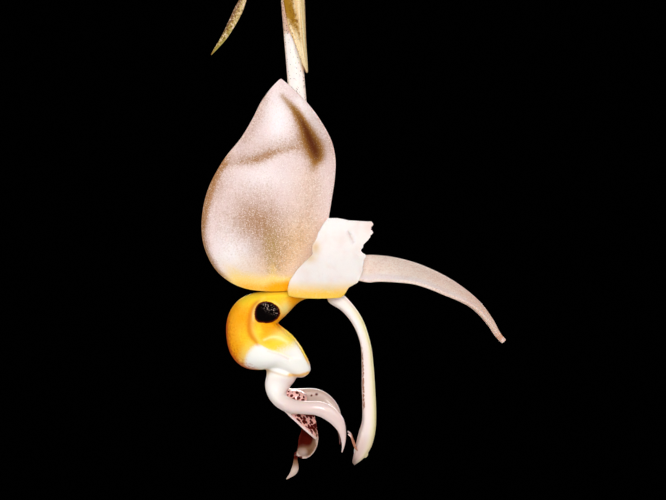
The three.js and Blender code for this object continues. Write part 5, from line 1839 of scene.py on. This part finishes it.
@dataclass
class Hanger:
    """The hook, the collar that gathers the wires, and the four wires down the pot's corners."""

    finish: Finish = SteelFinish("hanger_zinc")

    CORNERS: ClassVar = ((-1, -1), (1, -1), (1, 1), (-1, 1))

    def hook_line(self) -> Array:
        """The line of the hook and its shank."""
        bend = HOOK_INSIDE + HOOK_WIRE - 0.25
        angles = np.radians(np.linspace(195, -45, 60))
        crook = np.stack([bend * np.cos(angles), 0 * angles, bend * np.sin(angles) - HOOK_INSIDE], 1)
        shank = Line([crook[-2], crook[-1], [0.8, 0, -30], [0, 0, -36], [0, 0, COLLAR_TOP - 8]]).at(
            np.linspace(0.25, 1, 40)
        )
        return np.vstack([crook, shank[1:]])

    def wire_line(self, side_x: float, side_y: float) -> Array:
        """The line of one wire, from the collar to its bent foot."""
        foot = POT_FLOOR - WIRE - TOUCH
        out = np.array([side_x, side_y, 1.0])
        corners = [
            out * [WIRE_IN_COLLAR, WIRE_IN_COLLAR, COLLAR_TOP - 6],
            out * [WIRE_IN_COLLAR, WIRE_IN_COLLAR, COLLAR_BOTTOM - 4],
            out * [CORNER, CORNER, POT_RIM + 5],
            out * [CORNER, CORNER, foot],
            out * [CORNER - 9, CORNER, foot],
        ]
        return rounded(corners, 3)

    def collar(self) -> Skin:
        """The collar: a turned sleeve with rounded edges and two pressed rings."""
        top, bottom, radius = COLLAR_TOP, COLLAR_BOTTOM, COLLAR_RADIUS
        ring = radius - 0.45
        profile = [
            (0.6, bottom), (radius - 1.2, bottom), (radius - 0.35, bottom + 0.3), (radius, bottom + 1.2),
            (radius, bottom + 3.4), (ring, bottom + 3.9), (ring, bottom + 4.5), (radius, bottom + 5),
            (radius, top - 5.6), (radius - 0.25, top - 4.4), (radius - 1.2, top - 3), (3.9, top - 0.6),
            (3.3, top), (HOOK_WIRE + 0.1, top),
        ]
        return loft(np.array([circle(48) * r + [0, 0, z] for r, z in profile]))

    def build(self) -> None:
        """Builds and dresses the hanger."""
        sweep = sweep_tree(Section.ROUND)
        hook = thread([self.hook_line()], lambda t: blunt(t, 0.012, 0.7) * HOOK_WIRE * MM)
        piece = sweep.grow("hook_rod", hook, self.finish, Sides=28, Rough=0.00006, Grain=0.004)
        settle(piece, ["hanger_hook"])
        for i, (side_x, side_y) in enumerate(self.CORNERS, 1):
            wire = thread([self.wire_line(side_x, side_y)], lambda t: blunt(t, 0.004, 0.7) * WIRE * MM)
            piece = sweep.grow(f"wire_rod_{i}", wire, self.finish, Sides=20, Rough=0.00004, Grain=0.004)
            settle(piece, [f"hanger_wire_{i}"])
        settle(self.collar().piece("collar_sleeve", self.finish), ["hanger_collar"])


# Pot


@dataclass
class Pot:
    """Crossed courses of wooden slats, with four floor slats, and the bark that fills them."""

    bevel: float = 1.1
    floor_x: tuple[float, ...] = (-38, -13, 13, 38)
    chip_density: float = 52000
    chip_size: float = 0.0062
    chip_seed: int = 4

    def slats(self) -> tuple[dict[str, Array], dict[str, Array]]:
        """The middle lines of the slats along Y and of those along X, by the names of their nodes."""
        lines = ({}, {})
        sides = (("left", "right"), ("front", "back"))
        lowest = POT_FLOOR + SLAT_HEIGHT / 2
        for course in range(COURSES):
            along_x = course % 2
            for offset, side in zip((-CORNER, CORNER), sides[along_x]):
                line = self.slat_line(along_x, offset, lowest + course * SLAT_PITCH)
                lines[along_x][f"pot_slat_{side}_{course + 1}"] = line
        for i, x in enumerate(self.floor_x, 1):
            lines[0][f"pot_floor_slat_{i}"] = self.slat_line(0, x, lowest)
        return lines

    @staticmethod
    def slat_line(along_x: int, offset: float, z: float) -> Array:
        """The middle line of one slat, its points closer together near the ends."""
        reach = SLAT_LENGTH / 2
        start = [-reach, -reach + 0.25, -reach + 0.9]
        stations = np.array([*start, *np.linspace(-reach + 4, reach - 4, 36), *(-s for s in start[::-1])])
        still = np.full_like(stations, offset)
        columns = [stations, still] if along_x else [still, stations]
        return np.stack([*columns, np.full_like(stations, z)], 1)

    def build_slats(self) -> None:
        """Builds the slats in two pieces, those along Y and those along X."""
        tree = sweep_tree(Section.SLAT)
        wood = WoodFinish("slat_wood_grain")
        for name, lines, across in zip(("slats_lengthwise", "slats_crosswise"), self.slats(), (1.0, 0.0)):
            piece = tree.grow(
                name, thread([*lines.values()], lambda t: blunt(t, 0.008, 0.9)), wood, Sides=44,
                Width=SLAT_WIDTH * MM, Height=SLAT_HEIGHT * MM, Corner=self.bevel * MM,
                Rough=0.0003, Grain=0.012,
            )
            self.mark_slats(piece.data, across)
            settle(piece, [*lines])

    def mark_slats(self, mesh: Mesh, crosswise: float) -> None:
        """Marks the worn edges of the slats, and the painted shade round the wires where they pass through.
        """
        points = skin_of(mesh).points
        x, y, z = points.T
        level = np.mod(z - POT_FLOOR, SLAT_PITCH)
        high = np.minimum(level, SLAT_HEIGHT - level)
        sideways = x if crosswise else y
        middles = np.array([-CORNER, CORNER, *(self.floor_x if crosswise else ())])
        beside = SLAT_WIDTH / 2 - np.abs(sideways[:, None] - middles).min(1)
        along = y if crosswise else x
        end = SLAT_LENGTH / 2 - np.abs(along)
        near = np.sort(np.stack([high, beside, end], 1), 1)
        away = np.hypot(np.abs(x) - CORNER, np.abs(y) - CORNER)
        keep_mark(mesh, "worn", smooth(near[:, 1], 2.2, 0.8))
        # Painted shade round each wire where it passes through the slats.
        keep_mark(mesh, "hole", smooth(away, 2.6, 1.7))
        keep_mark(mesh, "crosswise", np.full(len(points), crosswise))

    def chip_tree(self) -> Growth:
        """A tree that strews broken chips over the bark."""
        inputs = {"Material": "Material", "Density": "Float", "Size": "Float", "Seed": "Int"}
        tree = Growth("bark_chips", inputs)
        base = tree.given("Geometry")
        spread = tree.node("GeometryNodeDistributePointsOnFaces", {
            "Mesh": base, "Distance Min": tree.given("Size") * 0.42, "Density Max": tree.given("Density"),
            "Seed": tree.given("Seed"),
        }, distribute_method="POISSON")
        block = tree.node("GeometryNodeMeshCube", {
            "Size": (1.0, 0.72, 0.36), "Vertices X": 4, "Vertices Y": 3, "Vertices Z": 2,
        })()
        place = tree.node("GeometryNodeInputPosition")()
        wild = tree.node("ShaderNodeTexNoise", {"Vector": place, "Scale": 2.3, "Detail": 1.0})("Color")
        offset = tree.vector("MULTIPLY", tree.vector("SUBTRACT", wild, (0.5, 0.5, 0.5)), (0.9, 0.8, 0.5))
        block = tree.node("GeometryNodeSetPosition", {"Geometry": block, "Offset": offset})()
        inputs = {0: spread("Rotation"), 1: tree.random((-0.7, -0.7, 0.0), (0.7, 0.7, 6.28))}
        rotation = tree.node("FunctionNodeRotateRotation", inputs, rotation_space="LOCAL")()
        scale = tree.scaled(tree.random((0.7, 0.6, 0.7), (2.0, 1.5, 1.5)), tree.given("Size"))
        chips = tree.node("GeometryNodeInstanceOnPoints", {
            "Points": spread("Points"), "Instance": block, "Rotation": rotation, "Scale": scale,
        })()
        tone = tree.node("FunctionNodeRandomValue", {"Seed": 5}, data_type="FLOAT")(1)
        chips = tree.keep(chips, "chip", tone, "INSTANCE")
        return tree.finish(tree.node("GeometryNodeJoinGeometry", {0: [base, chips]})())

    def build_bark(self, node: Object) -> None:
        """Builds the bark on a merged copy of the part's own block."""
        start = node.data.copy()
        work = bmesh.new()
        work.from_mesh(start)
        bmesh.ops.remove_doubles(work, verts=work.verts, dist=1e-6)
        work.to_mesh(start)
        work.free()
        start.materials.clear()
        piece = self.chip_tree().grow(
            "bark_chips", start, BarkFinish("bark_layers"),
            Density=self.chip_density, Size=self.chip_size, Seed=self.chip_seed,
        )
        for face in piece.data.polygons:
            face.use_smooth = False
        settle(piece, ["potting_bark"])

    def build(self, bark: Object) -> None:
        """Builds the slats and the bark."""
        self.build_slats()
        self.build_bark(bark)


# Plant


def on_bark(points: Rows) -> Array:
    """Points whose height is counted from the top of the bark."""
    return np.array(points, float) + [0, 0, BARK_TOP]


@dataclass(frozen=True)
class Shoot:
    """One bulb with its leaf: where it stands, which way its leaf turns in degrees, and its size."""

    x: float
    y: float
    turn: float
    size: float
    sheathed: bool

    HEIGHT: ClassVar = 46
    RADIUS: ClassVar = 14
    LEAN: ClassVar = 0.2
    RIBS: ClassVar = 7

    def outward(self) -> Array:
        """The way that the leaf leans."""
        angle = math.radians(self.turn)
        return np.array([math.cos(angle), math.sin(angle), 0.0])

    def skin_at(self, share: Array, angle: Array, grow: float = 0) -> Array:
        """Points on the bulb at shares of its height, some way out from its skin."""
        height = self.HEIGHT * self.size
        swell = np.sin(np.pi * mix(0.16, 0.93, share) ** 0.86) ** 0.72
        rib = 1 - 0.07 * (0.5 + 0.5 * np.cos(self.RIBS * angle)) * swell
        radius = self.RADIUS * self.size * swell * rib + grow
        lean = self.outward() * self.LEAN * height
        x = self.x + lean[0] * share + radius * np.cos(angle)
        y = self.y + lean[1] * share + radius * np.sin(angle)
        return np.stack([x, y, BARK_TOP + height * share + 0 * angle], -1)

    def top(self) -> Array:
        """The middle of the bulb's top."""
        return (self.skin_at(np.array(1.0), np.array(0.0)) + self.skin_at(np.array(1.0), np.array(np.pi))) / 2


SHOOTS = (
    Shoot(-33, -12, 188, 1, False), Shoot(-9, 20, 97, 0.9, True),
    Shoot(12, -19, 272, 0.94, False), Shoot(34, 14, 8, 1.06, True),
)


@dataclass
class Plant:
    """The rhizome, bulbs, sheaths, leaves and roots."""

    RHIZOME: ClassVar = [[-34, -9, 3], [-12, 8, 3.5], [12, -6, 3.5], [35, 9, 3]]
    ROOTS: ClassVar = [
        [[-30, -4, 2], [-41, 6, 4], [-49, 12, 1], [-55, 15, -6],
         [-63, 17, -8.3], [-71, 19, -10], [-75, 20, -18], [-75, 21, -40]],
        [[16, -4, 3], [30, -18, 6], [34, -36, 5], [36, -50, 2],
         [38, -61, 0.3], [39, -69.5, 0], [40, -73.5, -5], [41, -74, -26]],
        [[28, 4, 3], [40, -4, 6], [48, -9, 2], [55, -11, -6],
         [63, -12, -8.3], [71, -14, -10], [75, -15, -17], [75, -15, -29]],
    ]
    LEAF_LINE: ClassVar = [[0, -1], [5, 16], [15, 36], [44, 78], [80, 108], [122, 113], [156, 92]]
    LEAF_HALF: ClassVar = 33
    LEAF_PLEATS: ClassVar = 5
    STALK_HALF: ClassVar = 2.3
    STALK_SHARE: ClassVar = 0.14

    def bulb(self, shoot: Shoot) -> Skin:
        """One ribbed bulb with wrinkles between its ribs."""
        shares, angles = mix(0.02, 1, np.linspace(0, 1, 56)), np.arange(112) * 2 * np.pi / 112
        share, angle = np.meshgrid(shares, angles, indexing="ij")
        wrinkle = 0.22 * np.sin(23 * angle + 9 * share) * np.sin(31 * share + 4 * np.sin(3 * angle))
        ring = -0.5 * bump(share - 0.965, 0.02)
        made = loft(shoot.skin_at(share, angle, wrinkle * np.sin(np.pi * share) + ring))
        around = made.marks["turn"] * 2 * np.pi
        made.marks["rib"] = (0.5 - 0.5 * np.cos(shoot.RIBS * around)) ** 3
        made.marks["share"] = made.marks["u"]
        return made

    def sheath(self, shoot: Shoot) -> Skin:
        """The papery sheath left round a bulb's foot, torn to points at its top."""

        def surface(u: Array, v: Array) -> Array:
            """The sheath's middle surface."""
            angle = math.radians(shoot.turn) + math.pi + v * 3.05
            torn = 0.085 * np.sin(5 * v + 1) + 0.05 * np.sin(17 * v) + 0.03 * np.sin(41 * v + 2)
            share = 0.04 + u * (0.42 + torn)
            loose = 0.7 + 0.35 * np.sin(13 * v) * u + 0.5 * u * u
            return shoot.skin_at(share, angle, loose)

        return shell(surface, lambda u, v: 0.6 - 0.25 * u, 50, 150, 0.01, 0.02)

    def leaf_half(self, u: Array) -> Array:
        """Half the width of the leaf along its line."""
        share = np.clip((u - self.STALK_SHARE) / (1 - self.STALK_SHARE), 0, 1)
        return mix(self.STALK_HALF, self.LEAF_HALF, np.sin(np.pi * share**0.92) ** 1.15)

    def leaf(self, shoot: Shoot) -> Skin:
        """One pleated leaf."""
        out = shoot.outward()
        side = np.array([-out[1], out[0], 0])
        middle = Line(np.array(self.LEAF_LINE) * shoot.size)
        base = shoot.top()

        def surface(u: Array, v: Array) -> Array:
            """The leaf's middle surface."""
            line, way = middle.at(u), middle.way(u)
            half = self.leaf_half(u) * shoot.size
            fold = 0.34 * half * np.abs(v) ** 1.3 * (1 - 0.75 * smooth(u, 0.2, 0.6))
            pleat = 0.045 * half * np.cos(self.LEAF_PLEATS * np.pi * v) * (1 - v * v)
            wave = 1.6 * np.sin(9 * u + 2 * v) * v * v * smooth(u, 0.3, 0.6) * (1 - smooth(u, 0.85, 1))
            ruffle = 0.5 * np.sin(34 * u + 3 * v) * np.abs(v) ** 5 * smooth(u, 0.2, 0.4)
            ruffle = ruffle * (1 - smooth(u, 0.9, 1))
            lift = fold + pleat + wave + ruffle
            reach = line[..., 0] - way[..., 1] * lift
            height = line[..., 1] + way[..., 0] * lift
            level = base + reach[..., None] * out + (v * half)[..., None] * side
            return level + height[..., None] * [0, 0, 1]

        def thickness(u: Array, v: Array) -> Array:
            """The leaf's thickness: stout in its stalk, thick at its midrib, thin at its edge."""
            stalk = mix(2.2, 0.9, smooth(u, 0.05, 0.3))
            return stalk + 0.8 * bump(v, 0.03) * smooth(u, 0.1, 0.3) * (1 - 0.6 * u) - 0.3 * np.abs(v) ** 3

        made = shell(surface, thickness, 170, 120, 0.02)
        v = made.marks["v"]
        pleats = 0.5 + 0.5 * np.cos(self.LEAF_PLEATS * np.pi * v)
        made.marks["rib"] = np.clip(bump(v, 0.012) * 1.2 + 0.45 * pleats**24, 0, 1)
        return made

    def build(self) -> None:
        """Builds and dresses the plant."""
        green = BulbFinish("bulb_skin")
        leaf_green = LeafFinish("leaf_blade_green")
        paper = SheathFinish("sheath_paper")
        sheathed = 0
        for i, shoot in enumerate(SHOOTS, 1):
            settle(self.bulb(shoot).piece(f"bulb_flesh_{i}", green), [f"bulb_{i}"])
            settle(self.leaf(shoot).piece(f"leaf_blade_{i}", leaf_green), [f"leaf_{i}"])
            if shoot.sheathed:
                sheathed += 1
                piece = self.sheath(shoot).piece(f"sheath_paper_{sheathed}", paper)
                settle(piece, [f"bulb_sheath_{sheathed}"])
        self.build_rhizome(green)
        self.build_roots()

    def build_rhizome(self, finish: Finish) -> None:
        """The creeping stem, ringed by the scars of its scales."""
        points = Line(on_bark(self.RHIZOME)).even(160)
        made = loft(tube(points, lambda u: 4.2 * (1 - 0.1 * ((u * 13) % 1) ** 3), 36))
        made.marks["share"] = 0.09 + 0.1 * ((made.marks["u"] * 13) % 1)
        settle(made.piece("rhizome_stem", finish), ["rhizome"])

    def build_roots(self) -> None:
        """The roots that creep over the bark and out between the slats."""
        tree = sweep_tree(Section.ROUND)
        skin = RootFinish("root_skin")
        for i, points in enumerate(self.ROOTS, 1):
            start = thread([Line(on_bark(points)).even(110)], self.root_reach)
            piece = tree.grow(f"root_{i}_velvet", start, skin, Sides=24, Rough=0.0006, Grain=0.005)
            length = np.empty(len(piece.data.vertices), np.float32)
            piece.data.attributes["along"].data.foreach_get("value", length)
            keep_mark(piece.data, "growing", smooth(length / length.max(), 0.82, 0.97))
            settle(piece, [f"root_{i}"])

    @staticmethod
    def root_reach(t: Array) -> Array:
        """A root's radius along it, in metres, rounded off at its tip."""
        radius = 1.5 - 0.5 * t * t
        return radius * np.sqrt(np.clip((1.002 - t) / 0.03, 0.01, 1)) * MM


@dataclass
class Spike:
    """The flower spike that grows down through the pot's floor, with its two bracts."""

    LINE: ClassVar = [
        [0.5, 1.5, BARK_TOP + 0.5], [1.5, 3, BARK_TOP - 30], [-0.5, 1, POT_FLOOR],
        [-2.6, -0.5, POT_FLOOR - 30], STALK_TOP + [0, 0, -1],
    ]

    def build(self) -> None:
        """Builds and dresses the spike."""
        made = loft(tube(Line(self.LINE).even(120), self.radius, 36))
        settle(made.piece("spike_stem", SpikeFinish("spike_skin")), ["flower_spike"])
        below = [*self.LINE[2:4], STALK_TOP]
        paper = BractFinish("bract_paper")
        rows = ((0.02, 0.42, 4.4, 2.2, -1.9, 1.6), (0.45, 0.86, 4.3, 2.1, 0.9, 1.5))
        for i, (start, end, radius, wrap, facing, flare) in enumerate(rows, 1):
            bract = Bract(f"spike_bract_blade_{i}", below, start, end, radius, wrap, facing, flare)
            settle(bract.build().piece(bract.name, paper), [f"spike_bract_{i}"])

    @staticmethod
    def radius(u: float) -> float:
        """The spike's radius along it, a little swollen where each bract sits."""
        return 3.4 - 0.3 * u + 0.25 * bump(u - 0.6, 0.012) + 0.3 * bump(u - 0.84, 0.012)


# Studio


@dataclass
class Studio:
    """The camera, the floor and the soft lights."""

    eye: tuple[float, float, float] = (11.9, -555, -508.9)
    lens: float = 100
    sensor: float = 36
    floor_height: float = -900
    floor_radius: float = 1500
    floor_sides: int = 96
    target: tuple[float, float, float] = (0, 0, -430)

    LAMPS: ClassVar = [
        ("key", (-10, -985, -330), 350, 4.7),
        ("front_left", (-800, -640, -150), 600, 2.3),
        ("front_right", (600, -840, -120), 700, 3.6),
        ("left", (-1100, 150, -300), 700, 3.4),
        ("right", (1100, 150, -300), 700, 3.2),
        ("back", (60, 1150, -250), 700, 9.0),
        ("top", (50, 60, 700), 700, 3.0),
    ]

    def build(self) -> None:
        """Sets up the camera, the lamps, the floor and the dark surroundings."""
        scene = bpy.context.scene
        camera = added("camera", bpy.data.cameras.new("camera"))
        camera.data.lens = self.lens
        camera.data.sensor_width = self.sensor
        camera.location = Vector(self.eye) * MM
        camera.rotation_euler = (math.pi / 2, 0, 0)
        scene.camera = camera
        for name, place, size, power in self.LAMPS:
            self.lamp(name, place, size, power)
        self.floor()
        world = bpy.data.worlds.new("surroundings")
        world.use_nodes = True
        graph = Graph(world.node_tree)
        dark = graph.node("ShaderNodeBackground", {"Color": (0, 0, 0, 1), "Strength": 1.0})()
        graph.node("ShaderNodeOutputWorld", {"Surface": dark})
        scene.world = world
        scene.view_settings.view_transform = "Standard"
        scene.view_settings.look = "Medium High Contrast"

    def lamp(self, name: str, place: Sequence[float], size: float, power: float) -> None:
        """Adds a soft square lamp that points at the part.

        Args:
            name: The lamp's name.
            place: Where it stands.
            size: The length of its side.
            power: Its power in watts.
        """
        data = bpy.data.lights.new(name, "AREA")
        data.size = size * MM
        data.energy = power
        lamp = added(name, data)
        lamp.location = Vector(place) * MM
        lamp.rotation_euler = (Vector(self.target) - Vector(place)).to_track_quat("-Z", "Y").to_euler()
        lamp.visible_camera = False

    def floor(self) -> None:
        """Adds a plain pale round floor below the part."""
        rim = circle(self.floor_sides) * self.floor_radius
        disc = Skin(rim + [0, 0, self.floor_height], [tuple(range(self.floor_sides))])
        made = disc.piece("floor", FloorFinish("floor_pale"))


@dataclass(frozen=True)
class FloorFinish(Finish):
    """Plain pale matt floor."""

    dull: Colour = shade(186, 184, 180)
    pale: Colour = shade(192, 190, 186)

    def surface(self, s: Shading) -> Sockets:
        """Hardly more than one colour."""
        return {"Base Color": s.blend(s.noise(60), self.dull, self.pale), "Roughness": 0.8}


# Putting it together


def settle(piece: Object, nodes: Sequence[str]) -> None:
    """Lets a finished piece ride on the part and stand for its nodes."""
    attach(piece, BODY)
    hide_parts(*nodes)
    log.info("%s: %d faces", piece.name, len(piece.data.polygons))


def build_flower() -> None:
    """Builds the flower with its stalk and bracts."""
    sepal = SepalFinish("sepal_grain")
    warm = SepalFinish("dorsal_grain", pink=shade(255, 236, 224), tan=shade(214, 162, 134))
    petal = PetalFinish("petal_flesh")
    ivory = ColumnFinish("column_wax")
    paper = BractFinish("bract_paper")
    wrap = Bract("flower_bract_blade", Stalk.LINE, 0.03, 0.385, 3.4, 1.5, -0.28, 0, 0.9)
    for part, finish, node, slot in (
        (LateralSepal("lateral_sepal_near", -1), sepal, "sepal_lateral_near", "sepal_pink"),
        (LateralSepal("lateral_sepal_far", 1), sepal, "sepal_lateral_far", "sepal_pink"),
        (DorsalSepal(), warm, "sepal_dorsal", "sepal_pink"),
        (PetalBase("petal_base_near", -1, 1), petal, "petal_stub_near", "petal_white"),
        (PetalBase("petal_base_far", 1, 0.97), petal, "petal_stub_far", "petal_white"),
        (Lip(), LipFinish("lip_wax"), "lip", "lip_orange"),
        (Column(), ivory, "column", "column_ivory"),
        (AntherCap(), ivory, "anther_cap", "column_ivory"),
        (Stalk(), StalkFinish("stalk_skin"), "flower_stalk", "stalk_cream"),
        (wrap, paper, "flower_bract", "dry_bract"),
        (SideBract(), paper, "side_bract", "dry_bract"),
    ):
        settle(part.build().piece(part.name, finish), [node])


def main() -> None:
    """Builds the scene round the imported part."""
    logging.basicConfig(level=logging.INFO, format="%(message)s")
    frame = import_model()
    Studio().build()
    Hanger().build()
    Pot().build(frame["nodes"]["potting_bark"])
    Plant().build()
    Spike().build()
    build_flower()


if __name__ == "__main__":
    main()
